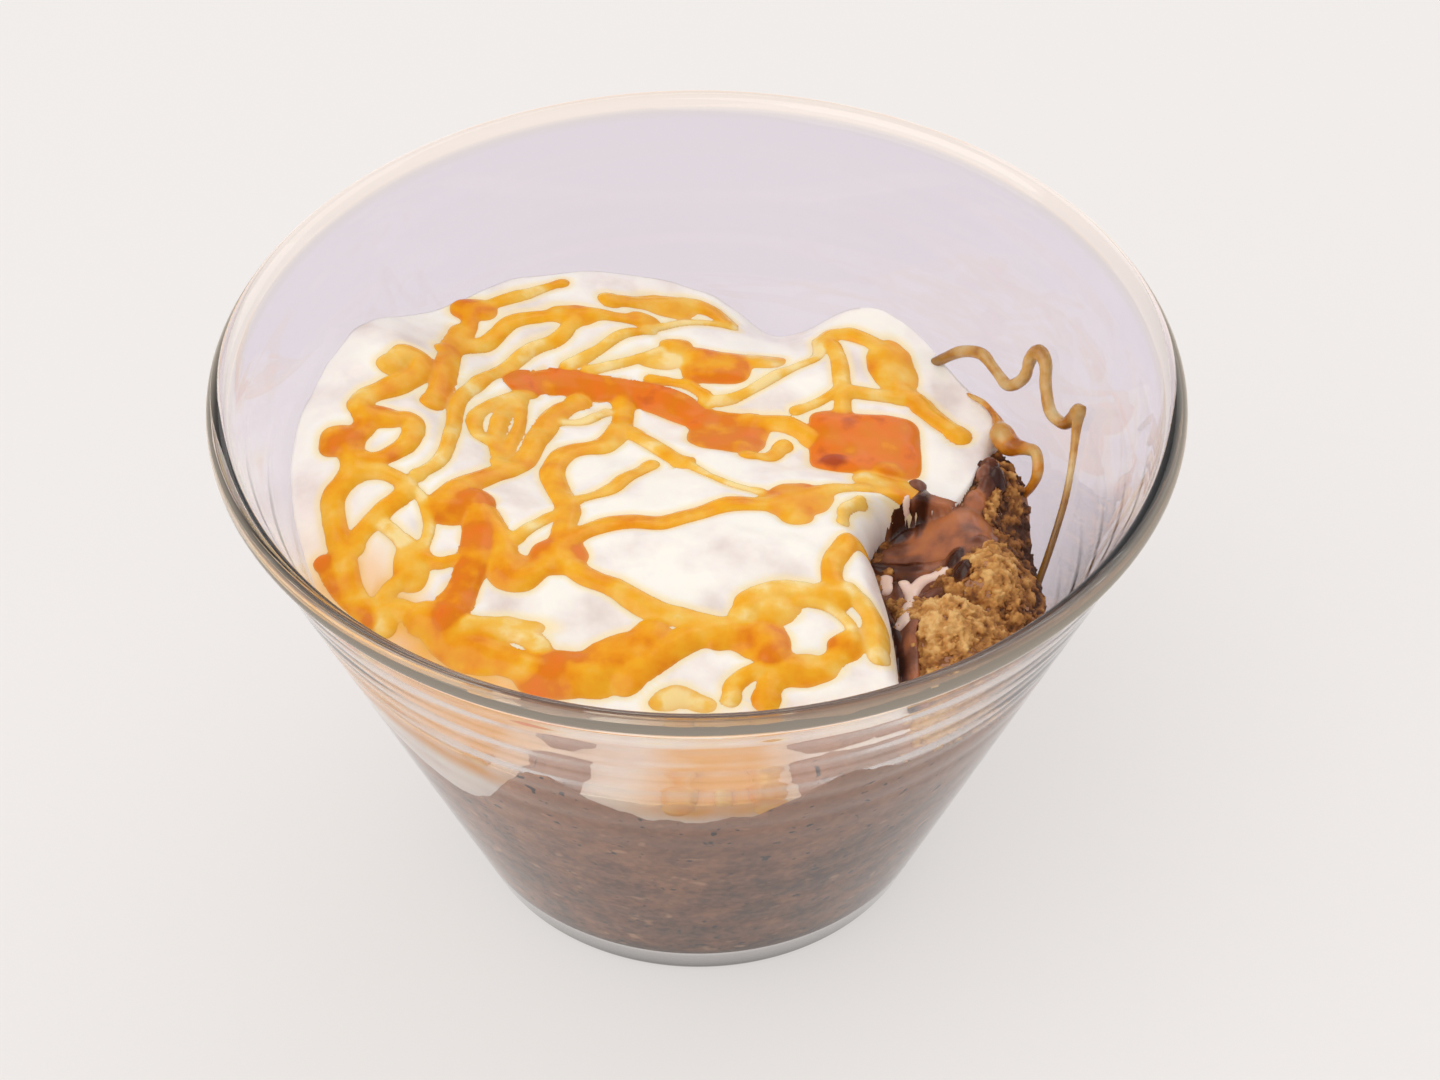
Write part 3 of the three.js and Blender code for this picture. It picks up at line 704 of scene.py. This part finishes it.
def syrup_ground(x, y):
    ground = mash_height(x, y) + SYRUP_OVER_MASH
    if from_middle(x, y) < cream_reach(x, y)[0]:
        return max(cream_top(x, y), ground)
    return ground


def streak_ground(x, y):
    return syrup_ground(x, y) + max(0.0, pour_rise(x, y, SYRUP, SYRUP_POOLS)[0])


def pour_rise(x, y, lines, pools):
    """Height of what is poured at a place, below 0 where there is none, and its depth of colour."""
    samples, tree = lines
    rises = {}
    for _, i, distance in tree.find_range((x, y, 0), WIDEST_HALF):
        _, number, half, depth = samples[i]
        rise = (POUR_BASE + POUR_RISE * half) * (1 - (distance / half) ** POUR_ROUND)
        if number not in rises or rise > rises[number][0]:
            rises[number] = (rise, depth)
    shade = uneven(x, y, POOL_SHADES, 4.4)
    found = list(rises.values())
    for pool in pools:
        _, rise, depth = in_pool(x, y, *pool)
        found.append((rise, depth + shade))
    highest = max(found, default=(-1, 0))[0]
    if highest < -2 * POUR_UNDER:
        return -2 * POUR_UNDER, 0.0
    weights = [math.exp((rise - highest) / POUR_BLEND) for rise, _ in found]
    total = sum(weights)
    depth = sum(weight * deep for weight, (_, deep) in zip(weights, found)) / total
    return max(-2 * POUR_UNDER, highest + POUR_BLEND * math.log(total)), depth


def poured_body(name, area, lines, pools, ground, cell):
    """Honey or syrup as one low closed body over the ground that it is poured on."""
    low_x, high_x, low_y, high_y = area
    select_nothing()
    cells_x = round((high_x - low_x) / cell)
    cells_y = round((high_y - low_y) / cell)
    bpy.ops.mesh.primitive_grid_add(size=1, x_subdivisions=cells_x, y_subdivisions=cells_y)
    piece = named(name)
    rises = []
    depths = []
    for vertex in piece.data.vertices:
        x = low_x + (vertex.co.x + 0.5) * (high_x - low_x)
        y = low_y + (vertex.co.y + 0.5) * (high_y - low_y)
        rise, depth = pour_rise(x, y, lines, pools)
        vertex.co = (x, y, 0)
        rises.append(rise)
        depths.append(depth)
    write_attribute(piece, "thickness", rises)
    write_attribute(piece, "depth", depths)
    edit(piece, "DESELECT")
    bpy.ops.mesh.select_mode(type="VERT")
    leave_editing()
    for vertex in piece.data.vertices:
        vertex.select = rises[vertex.index] < -POUR_UNDER
    bpy.ops.object.mode_set(mode="EDIT")
    bpy.ops.mesh.delete(type="VERT")
    bpy.ops.mesh.select_all(action="SELECT")
    bpy.ops.mesh.extrude_region_move()
    leave_editing()
    thickness = piece.data.attributes["thickness"].data
    for vertex in piece.data.vertices:
        x, y, _ = vertex.co
        base = ground(x, y)
        rise = thickness[vertex.index].value + uneven(x, y, POUR_GRAIN, 2.2)
        z = base + rise if vertex.select else base - POUR_UNDER - POUR_FLOOR
        limit = (inner_radius(z) + HONEY_REACH) / max(1.0, math.hypot(x, y))
        vertex.co = (x * min(1.0, limit), y * min(1.0, limit), z)
    face_outwards(piece)
    return piece


def mash_grain(x, y):
    """Unevenness of the mash where crumbs lie against the glass or the cream."""
    return uneven(x, y, MASH_BROAD, 1.3) + uneven(x, y, MASH_FINE, 5.2)


def mash_body():
    """The soaked mash, settled in the glass under the cream."""
    piece = ringed_disc("soaked_mash", 360, 46)
    reach = inner_radius(BOWL_HEIGHT * MASH_WIDEST)
    for vertex in piece.data.vertices:
        x = vertex.co.x * reach
        y = vertex.co.y * reach
        vertex.co = (x, y, mash_height(x, y) + mash_grain(x, y))
    block_under(piece, 0)
    keep_in_glass(piece, MASH_REACH)
    heights = [vertex.co.z for vertex in piece.data.vertices]
    write_attribute(piece, "high", [PALER_SHARE * smooth(*PALER_RISE, z) for z in heights])
    return piece


def cream_body():
    """The spooned cream, rounded at its free edge and settled on the mash."""
    piece = ringed_disc("spooned_cream", 400, 96)
    for vertex in piece.data.vertices:
        share = vertex.co.length
        along = vertex.co.xy.normalized() if share > 0 else Vector((0, 0))
        ahead = CREAM_MIDDLE + along
        reach, is_open = cream_reach(ahead.x, ahead.y)
        outward = share * (reach + CREAM_PAST_GLASS * (1 - is_open))
        x, y = CREAM_MIDDLE + outward * along
        vertex.co = (x, y, cream_top(x, y))
    block_under(piece, CREAM_BOTTOM)
    keep_in_glass(piece, CREAM_REACH)
    return piece


def stain_and_shade_cream(piece):
    """Marks where thin honey spreads beside the lines, and where a thin honey layer with painted shade
    warms the cream at the glass.
    """
    stains = []
    film_and_shade_shares = []
    for vertex in piece.data.vertices:
        x, y, z = vertex.co
        stains.append(1 - smooth(0, STAIN_WIDTH, beside_honey(x, y)))
        # Behind the front glass: partly a thin honey layer, partly painted shade
        from_wall = inner_radius(z) - math.hypot(x, y)
        direction = math.degrees(math.atan2(y, x))
        ahead = FILM_AND_SHADE_EVERYWHERE * smooth(*FILM_AND_SHADE_BEGINS, direction) * (1 - smooth(*FILM_AND_SHADE_ENDS, direction))
        for middle, share, width in FILM_AND_SHADE_PLACES:
            ahead += share * math.exp(-0.5 * ((direction - middle) / width) ** 2)
        thinned = 0.9 + 0.5 * noise.noise(Vector((x / 5, y / 5, z / 6)))
        film_and_shade_shares.append(ahead * thinned * (1 - smooth(*FILM_AND_SHADE_FADE, from_wall)) * smooth(*FILM_AND_SHADE_RISE, z))
    write_attribute(piece, "stain", stains)
    write_attribute(piece, "film_and_shade", film_and_shade_shares)


def tubes(name, lines):
    """Round tubes, each a list of (point, radius), as one mesh."""
    curve = bpy.data.curves.new(name, "CURVE")
    curve.dimensions = "3D"
    curve.bevel_depth = 1
    curve.bevel_resolution = 3
    curve.use_fill_caps = True
    for line in lines:
        spline = curve.splines.new("POLY")
        spline.points.add(len(line) - 1)
        for place, (point, radius) in zip(spline.points, line):
            place.co = (*point, 1)
            place.radius = radius
    piece = bpy.data.objects.new(name, curve)
    bpy.context.collection.objects.link(piece)
    select_only(piece)
    bpy.ops.object.convert(target="MESH")
    return named(name)


def on_glass(direction, height, inset):
    """A point set in from the inside of the glass."""
    radius = inner_radius(height) - inset / math.cos(LEAN)
    angle = math.radians(direction)
    return Vector((radius * math.cos(angle), radius * math.sin(angle), height))


def glass_line(course, number, inset):
    """Points and radii of a honey line along the glass, set in by a share of its width."""
    path = path_through([Vector(place) for place in course], 0.7)
    return [
        (on_glass(direction, height, inset * width), 0.5 * width * share)
        for (direction, height, width), share in zip(path, swelling(path, number))
    ]


def fused_on_glass(name, lines, voxel, rounds):
    """Tubes run together, softened and cut where they reach into the glass."""
    piece = tubes(name, lines)
    shape_with(piece, "REMESH", mode="VOXEL", voxel_size=voxel)
    shape_with(piece, "SMOOTH", factor=0.5, iterations=rounds)
    keep_in_glass(piece, HONEY_REACH)
    return piece


def glass_strand(name, course, number, dark_below):
    """A strand of honey on the glass, darker below a height."""
    piece = fused_on_glass(name, [glass_line(course, number, STRAND_INSET)], 0.22, 4)
    heights = [vertex.co.z for vertex in piece.data.vertices]
    write_attribute(piece, "dark", [1 - smooth(dark_below - 5, dark_below + 3, z) for z in heights])
    return piece


def behind_front_glass(name, courses):
    lines = [glass_line(course, i, FRONT_INSET) for i, course in enumerate(courses)]
    return fused_on_glass(name, lines, 0.35, 6)


CRUMB_X = (22, 50)
CRUMB_Y = (-46, 22)
# How uneven a crumb is, and how long and how high for its radius
CRUMB_UNEVENNESS = 0.55
CRUMB_LENGTHS = (0.8, 1.4)
CRUMB_HEIGHTS = (0.6, 1)
MOUND_GRANULES = 2300
MOUND_RADII = (0.35, 1.05)
MOUND_VOXEL = 0.25
LOOSE_BITS = 2200
LOOSE_RADII = (0.2, 0.55)
# How far the mash's own height counts towards the painted shade of a crumb, darker where the mash lies
# low, and from where
HIGH_SHARE = 0.2
HIGH_FROM = 54


def on_open_mash(x, y, margin):
    """Whether a place lies on the mash where neither cream nor syrup covers it."""
    beyond = from_middle(x, y) - cream_reach(x, y)[0]
    if beyond < margin or math.hypot(x, y) > inner_radius(mash_height(x, y)) - 0.4:
        return False
    return pour_rise(x, y, SYRUP, SYRUP_POOLS)[0] < -0.1


def granule(name, seed, subdivisions):
    """One broken crumb, uneven all round."""
    select_nothing()
    bpy.ops.mesh.primitive_ico_sphere_add(subdivisions=subdivisions, radius=1)
    piece = named(name)
    for vertex in piece.data.vertices:
        vertex.co *= 1 + CRUMB_UNEVENNESS * noise.noise(vertex.co * 1.3 + Vector((seed, 0, 0)))
    return piece


def scattered(name, kinds, count, radii, sink_share, draw, margin):
    """Copies of the granules over the open mash, each with its own mesh, size and turn."""
    copies = []
    while len(copies) < count:
        x = draw.uniform(*CRUMB_X)
        y = draw.uniform(*CRUMB_Y)
        if not on_open_mash(x, y, margin):
            continue
        radius = radii[0] + (radii[1] - radii[0]) * draw.random() ** 2
        kind = draw.choice(kinds)
        copy = kind.copy()
        copy.data = kind.data.copy()
        copy.scale = (radius * draw.uniform(*CRUMB_LENGTHS), radius, radius * draw.uniform(*CRUMB_HEIGHTS))
        copy.rotation_euler = (draw.uniform(0, 3), draw.uniform(0, 3), draw.uniform(0, 3))
        copy.location = (x, y, mash_height(x, y) + radius * draw.uniform(-sink_share, 0.4))
        bpy.context.collection.objects.link(copy)
        copies.append(copy)
    select_only(*copies)
    bpy.ops.object.join()
    piece = named(name)
    settle(piece)
    return piece


def crumbs():
    """Broken soaked bread where the cream leaves the mash open: uneven clumps and loose bits on them."""
    draw = random.Random(11)
    rough = [granule("granule", seed, 2) for seed in (1.3, 4.1, 8.9, 15.2)]
    mounds = scattered("crumb_mounds", rough, MOUND_GRANULES, MOUND_RADII, 0.6, draw, -0.6)
    shape_with(mounds, "REMESH", mode="VOXEL", voxel_size=MOUND_VOXEL)
    grain = bpy.data.textures.new("crumb_grain", "CLOUDS")
    grain.noise_scale = 0.45
    grain.noise_depth = 1
    shape_with(mounds, "DISPLACE", texture=grain, strength=0.8, mid_level=0.55, texture_coords="LOCAL")
    keep_in_glass(mounds, MASH_REACH)
    small = [granule("bit", seed, 1) for seed in (2.2, 6.4, 12.7)]
    bits = scattered("loose_crumbs", small, LOOSE_BITS, LOOSE_RADII, -0.3, draw, 0.3)
    for kind in rough + small:
        bpy.data.objects.remove(kind)
    for piece in (mounds, bits):
        above = []
        for vertex in piece.data.vertices:
            x, y, z = vertex.co
            base = mash_height(x, y)
            # Painted shade: crumbs lower in the pits and where the mash lies low get darker colour
            above.append(z - base + HIGH_SHARE * (base - HIGH_FROM))
        write_attribute(piece, "above", above)
    return mounds, bits


def finish_piece(piece, material, slot, *nodes, smooth_faces=True):
    """Brings a piece to metres, gives it its material and seats it on the body."""
    select_only(piece)
    piece.scale = (MM, MM, MM)
    settle(piece)
    if smooth_faces:
        bpy.ops.object.shade_smooth()
    piece.data.materials.clear()
    piece.data.materials.append(material)
    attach(piece, "root")
    if nodes:
        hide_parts(*nodes)


def srgb(red, green, blue):
    """A colour given as 0 to 255, in the linear values that a shader takes."""
    channels = []
    for value in (red, green, blue):
        share = value / 255
        channels.append(share / 12.92 if share <= 0.04045 else ((share + 0.055) / 1.055) ** 2.4)
    return (*channels, 1.0)


def new_material(name, **settings):
    """A material with its plain shader values set."""
    material = bpy.data.materials.new(name)
    material.use_nodes = True
    tree = material.node_tree
    shader = tree.nodes["Principled BSDF"]
    for key, value in settings.items():
        shader.inputs[key.replace("_", " ")].default_value = value
    return material, tree, shader


def ramp(tree, source, stops):
    """A colour ramp over a value, from stops of position, red, green and blue."""
    made = tree.nodes.new("ShaderNodeValToRGB")
    elements = made.color_ramp.elements
    while len(elements) < len(stops):
        elements.new(1.0)
    for element, (position, *colour) in zip(elements, stops):
        element.position = position
        element.color = srgb(*colour)
    tree.links.new(source, made.inputs["Fac"])
    return made.outputs["Color"]


def object_noise(tree, scale, detail, stretch=(1, 1, 1)):
    """Noise over the piece's own place in the object."""
    place = tree.nodes.new("ShaderNodeTexCoord")
    mapping = tree.nodes.new("ShaderNodeMapping")
    mapping.inputs["Scale"].default_value = stretch
    made = tree.nodes.new("ShaderNodeTexNoise")
    made.inputs["Scale"].default_value = scale
    made.inputs["Detail"].default_value = detail
    tree.links.new(place.outputs["Object"], mapping.inputs["Vector"])
    tree.links.new(mapping.outputs["Vector"], made.inputs["Vector"])
    return made.outputs["Fac"]


def read_attribute(tree, name):
    made = tree.nodes.new("ShaderNodeAttribute")
    made.attribute_name = name
    return made.outputs["Fac"]


def mixed(tree, share, first, second):
    """Two colours mixed by a share; each may be a value or another node's output."""
    made = tree.nodes.new("ShaderNodeMix")
    made.data_type = "RGBA"
    for socket, value in zip((made.inputs[0], made.inputs[6], made.inputs[7]), (share, first, second)):
        if isinstance(value, bpy.types.NodeSocket):
            tree.links.new(value, socket)
        else:
            socket.default_value = value
    return made.outputs[2]


def summed(tree, first, second, first_share, second_share):
    """A weighted sum of two values."""
    total = tree.nodes.new("ShaderNodeMath")
    total.operation = "MULTIPLY_ADD"
    scaled = tree.nodes.new("ShaderNodeMath")
    scaled.operation = "MULTIPLY"
    tree.links.new(second, scaled.inputs[0])
    scaled.inputs[1].default_value = second_share
    tree.links.new(first, total.inputs[0])
    total.inputs[1].default_value = first_share
    tree.links.new(scaled.outputs[0], total.inputs[2])
    return total.outputs[0]


def raise_by(tree, shader, height, distance, strength):
    """Bump on a shader from a height."""
    made = tree.nodes.new("ShaderNodeBump")
    made.inputs["Distance"].default_value = distance
    made.inputs["Strength"].default_value = strength
    tree.links.new(height, made.inputs["Height"])
    tree.links.new(made.outputs["Normal"], shader.inputs["Normal"])


# Lilac colour of the glass: painted backdrop light, standing in for a lilac backdrop seen through it
GLASS_BACKDROP_TINT = (0.87, 0.825, 0.905, 1)
# Painted shade on the front glass, darker and warmer
FRONT_SHADE = (0.86, 0.805, 0.78, 1)
# Painted shade on the rim's bead
BEAD_SHADE = (0.74, 0.7, 0.64, 1)
# Painted glow along the rim's edge, standing in for light that the wall carries
PAINTED_RIM_GLOW = (0.26, 0.22, 0.175, 1)
# Painted shade at the heel, standing in for the shadowed floor seen through the thick glass
HEEL_SHADE = (0.02, 0.019, 0.016, 1)
SHADOW_TINT = (0.93, 0.91, 0.95, 1)


def glass_material():
    """Clear glass that lets lamps through to what it holds; its lilac colour is painted backdrop light,
    and it carries painted shade and a painted glow.
    """
    material, tree, shader = new_material(
        "clear_glass", Roughness=0.03, IOR=1.47, Transmission_Weight=1.0, Emission_Strength=1.0
    )
    # Painted glow: the rim's edge gives out light of its own
    glow = mixed(tree, read_attribute(tree, "edge"), (0, 0, 0, 1), PAINTED_RIM_GLOW)
    tree.links.new(glow, shader.inputs["Emission Color"])
    # Painted backdrop light gives the glass its lilac; painted shade darkens it towards the front
    backdrop_and_shade = mixed(tree, read_attribute(tree, "front"), GLASS_BACKDROP_TINT, FRONT_SHADE)
    # Painted shade darkens the rim's bead
    backdrop_and_shade = mixed(tree, read_attribute(tree, "bead"), backdrop_and_shade, BEAD_SHADE)
    # Painted shade darkens the heel
    backdrop_and_shade = mixed(tree, read_attribute(tree, "heel"), backdrop_and_shade, HEEL_SHADE)
    tree.links.new(backdrop_and_shade, shader.inputs["Base Color"])
    clear = tree.nodes.new("ShaderNodeBsdfTransparent")
    clear.inputs["Color"].default_value = SHADOW_TINT
    path = tree.nodes.new("ShaderNodeLightPath")
    mix = tree.nodes.new("ShaderNodeMixShader")
    tree.links.new(path.outputs["Is Shadow Ray"], mix.inputs["Fac"])
    tree.links.new(shader.outputs["BSDF"], mix.inputs[1])
    tree.links.new(clear.outputs["BSDF"], mix.inputs[2])
    tree.links.new(mix.outputs["Shader"], tree.nodes["Material Output"].inputs["Surface"])
    return material


def cream_material():
    """Thick cream, faintly warm, stained where honey thins out over it, and warmed behind the front glass
    by honey and painted shade.
    """
    material, tree, shader = new_material(
        "thick_cream", Roughness=0.42, Coat_Weight=0.12, Coat_Roughness=0.25,
        Subsurface_Weight=0.3, Subsurface_Radius=(1.0, 0.75, 0.5), Subsurface_Scale=0.002,
    )
    shade = ramp(tree, object_noise(tree, 95, 4), [
        (0.3, 226, 212, 204), (0.46, 246, 237, 230), (0.56, 253, 246, 236),
    ])
    stained = mixed(tree, read_attribute(tree, "stain"), shade, srgb(254, 232, 184))
    # Partly a thin honey layer, partly painted shade on the cream behind the front glass
    filmed_and_shaded = mixed(tree, read_attribute(tree, "film_and_shade"), stained, srgb(244, 176, 66))
    tree.links.new(filmed_and_shaded, shader.inputs["Base Color"])
    raise_by(tree, shader, object_noise(tree, 420, 3), 0.0003, 0.3)
    return material


def poured_material(name, thin, depths, roughness, coat):
    """Something poured, coloured by its depth from 0 to 2, and towards a thin colour at its edges."""
    material, tree, shader = new_material(
        name, Roughness=roughness, Specular_IOR_Level=0.15, Coat_Weight=coat, Coat_Roughness=0.08,
        Subsurface_Weight=0.15, Subsurface_Radius=(1.0, 0.45, 0.1), Subsurface_Scale=0.0015,
    )
    half_depth = summed(tree, read_attribute(tree, "depth"), object_noise(tree, 260, 5), 0.4, 0.55)
    deep = ramp(tree, half_depth, [(0.8 * position + 0.27, *colour) for position, *colour in depths])
    thin_to_thick = tree.nodes.new("ShaderNodeMapRange")
    thin_to_thick.interpolation_type = "SMOOTHSTEP"
    thin_to_thick.inputs["From Min"].default_value = -0.25
    thin_to_thick.inputs["From Max"].default_value = 0.3
    tree.links.new(read_attribute(tree, "thickness"), thin_to_thick.inputs["Value"])
    colour = mixed(tree, thin_to_thick.outputs["Result"], thin, deep)
    tree.links.new(colour, shader.inputs["Base Color"])
    return material


def honey_material():
    return poured_material("golden_honey", srgb(232, 164, 74), [
        (0.0, 248, 218, 148), (0.1, 244, 194, 84), (0.25, 242, 172, 30), (0.4, 236, 150, 8),
        (0.5, 224, 124, 4), (0.65, 232, 118, 22), (0.85, 176, 72, 28),
    ], 0.24, 0.2)


def syrup_material():
    return poured_material("dark_syrup", srgb(128, 78, 50), [
        (0.0, 184, 114, 70), (0.1, 170, 104, 70), (0.2, 134, 84, 62), (0.35, 98, 50, 28),
        (0.5, 58, 26, 14),
    ], 0.25, 0.35)


def streak_material():
    return poured_material("pale_streak", srgb(216, 160, 138), [
        (0.0, 246, 214, 198), (0.5, 246, 214, 198),
    ], 0.3, 0.2)


def strand_material(name, shades):
    """Thin clear honey on the glass."""
    material, tree, shader = new_material(
        name, Roughness=0.12, IOR=1.4, Transmission_Weight=0.45, Coat_Weight=0.3
    )
    shade = ramp(tree, object_noise(tree, 230, 3), shades)
    shade = mixed(tree, read_attribute(tree, "dark"), shade, srgb(150, 104, 44))
    tree.links.new(shade, shader.inputs["Base Color"])
    return material


def pressed_material(name, roughness, coat, scale, detail, shades):
    """Honey or syrup pressed thin against the glass."""
    material, tree, shader = new_material(name, Roughness=roughness, Coat_Weight=coat)
    shade = ramp(tree, object_noise(tree, scale, detail), shades)
    tree.links.new(shade, shader.inputs["Base Color"])
    return material


def mash_material():
    """Soaked bread behind the glass, with fine darker crumbs in it."""
    material, tree, shader = new_material("soaked_bread", Roughness=0.6)
    broad = ramp(tree, object_noise(tree, 150, 5), [
        (0.36, 88, 46, 24), (0.5, 128, 74, 42), (0.64, 174, 116, 76),
    ])
    grains = ramp(tree, object_noise(tree, 800, 3), [
        (0.38, 0, 0, 0), (0.62, 255, 255, 255),
    ])
    grained = mixed(tree, 0.35, broad, mixed(tree, grains, srgb(84, 50, 30), srgb(190, 138, 98)))
    specks = ramp(tree, object_noise(tree, 620, 1), [
        (0.27, 255, 255, 255), (0.33, 0, 0, 0),
    ])
    flecks = ramp(tree, object_noise(tree, 330, 1, (1.1, 0.9, 1.3)), [
        (0.66, 0, 0, 0), (0.8, 255, 255, 255),
    ])
    lit = mixed(tree, flecks, grained, srgb(206, 160, 120))
    raised = mixed(tree, read_attribute(tree, "high"), lit, srgb(194, 142, 108))
    colour = mixed(tree, specks, raised, srgb(48, 30, 20))
    tree.links.new(colour, shader.inputs["Base Color"])
    raise_by(tree, shader, object_noise(tree, 700, 3), 0.0004, 0.5)
    return material


def crumb_material():
    """Open broken bread, golden brown, with painted shade darkening its pits and where the mash lies low.
    """
    material, tree, shader = new_material(
        "open_crumb", Roughness=0.75, Subsurface_Weight=0.08, Subsurface_Scale=0.001
    )
    # Painted shade: lower crumbs are darker
    raised = summed(tree, read_attribute(tree, "above"), object_noise(tree, 520, 4), 0.3, 0.95)
    colour = ramp(tree, raised, [
        (0.3, 74, 38, 14), (0.5, 146, 90, 36), (0.72, 198, 140, 70), (0.95, 226, 180, 112),
    ])
    tree.links.new(colour, shader.inputs["Base Color"])
    raise_by(tree, shader, object_noise(tree, 1500, 3), 0.0003, 0.6)
    return material


SYRUP = pour_samples(SYRUP_LINES)
STREAKS = pour_samples(STREAK_LINES)


def build_pieces():
    finish_piece(clear_bowl(), glass_material(), "bowl_glass", "glass_bowl")
    finish_piece(mash_body(), mash_material(), "bread_mash", "fattah_mash")
    cream = cream_body()
    stain_and_shade_cream(cream)
    finish_piece(cream, cream_material(), "cream", "cream")
    honey = poured_body("poured_honey", CREAM_AREA, HONEY, HONEY_POOLS, honey_ground, HONEY_CELL)
    finish_piece(honey, honey_material(), "honey")
    syrup = poured_body("dark_syrup", OPEN_AREA, SYRUP, SYRUP_POOLS, syrup_ground, SYRUP_CELL)
    finish_piece(syrup, syrup_material(), "honey")
    streaks = poured_body("pale_streaks", OPEN_AREA, STREAKS, [], streak_ground, STREAK_CELL)
    finish_piece(streaks, streak_material(), "cream")
    mounds, bits = crumbs()
    crumb = crumb_material()
    finish_piece(mounds, crumb, "bread_mash")
    finish_piece(bits, crumb, "bread_mash", smooth_faces=False)
    pale = strand_material("clear_honey", [
        (0.36, 188, 122, 48), (0.48, 228, 176, 92), (0.64, 244, 214, 154),
    ])
    finish_piece(glass_strand("long_strand", LONG_STRAND, 2, 57), pale, "honey", "honey_strand")
    orange = strand_material("orange_honey", [
        (0.36, 196, 112, 24), (0.5, 238, 158, 46), (0.66, 246, 204, 124),
    ])
    finish_piece(glass_strand("short_strand", SHORT_STRAND, 5, 45), orange, "honey", "honey_loop")
    pressed_honey = pressed_material("pressed_honey", 0.3, 0.2, 220, 2, [
        (0.35, 246, 166, 40), (0.65, 254, 204, 110),
    ])
    finish_piece(behind_front_glass("front_runs", FRONT_RUNS), pressed_honey, "honey")
    pressed_syrup = pressed_material("pressed_syrup", 0.35, 0.1, 300, 3, [
        (0.38, 136, 70, 40), (0.6, 190, 124, 90),
    ])
    finish_piece(behind_front_glass("front_smear", FRONT_SMEAR), pressed_syrup, "honey")


# The photograph's view: how far down it looks, from how far, and at what
VIEW_DOWN = math.radians(42.77)
VIEW_DISTANCE = 0.52
VIEW_TARGET = Vector((0.00306, 0.0, 0.0533))
SENSOR_WIDTH = 36.0
FOCAL_PIXELS = 3769.0
IMAGE_WIDTH = 1440.0


def place_camera():
    data = bpy.data.cameras.new("camera")
    data.sensor_width = SENSOR_WIDTH
    data.lens = SENSOR_WIDTH * FOCAL_PIXELS / IMAGE_WIDTH
    data.clip_start = 0.01
    data.clip_end = 50
    camera = bpy.data.objects.new("camera", data)
    bpy.context.scene.collection.objects.link(camera)
    back = Vector((0, -math.cos(VIEW_DOWN), math.sin(VIEW_DOWN)))
    camera.location = VIEW_TARGET + VIEW_DISTANCE * back
    camera.rotation_euler = (math.pi / 2 - VIEW_DOWN, 0, 0)
    bpy.context.scene.camera = camera


def soft_lamp(name, place, size, power, colour):
    data = bpy.data.lights.new(name, "AREA")
    data.shape = "SQUARE"
    data.size = size
    data.energy = power
    data.color = colour
    lamp = bpy.data.objects.new(name, data)
    bpy.context.scene.collection.objects.link(lamp)
    lamp.location = place
    lamp.rotation_euler = (Vector((0, 0, 0.05)) - Vector(place)).to_track_quat("-Z", "Y").to_euler()


def set_stage():
    select_nothing()
    bpy.ops.mesh.primitive_plane_add(size=12)
    floor = named("floor")
    material, _, _ = new_material(
        "pale_floor", Base_Color=srgb(150, 148, 147), Roughness=1.0, Specular_IOR_Level=0.0,
        Emission_Color=srgb(237, 233, 230), Emission_Strength=0.67,
    )
    floor.data.materials.append(material)
    world = bpy.data.worlds.new("studio")
    bpy.context.scene.world = world
    world.use_nodes = True
    background = world.node_tree.nodes["Background"]
    background.inputs["Color"].default_value = srgb(244, 243, 245)
    background.inputs["Strength"].default_value = 0.65
    soft_lamp("key_lamp", (-1.3, -0.9, 1.9), size=2.8, power=35, colour=(1, 0.98, 0.94))
    soft_lamp("back_lamp", (1.0, 1.4, 1.5), size=2.0, power=14, colour=(1, 0.98, 0.96))
    bpy.context.scene.view_settings.view_transform = "Standard"


place_camera()
build_pieces()
set_stage()
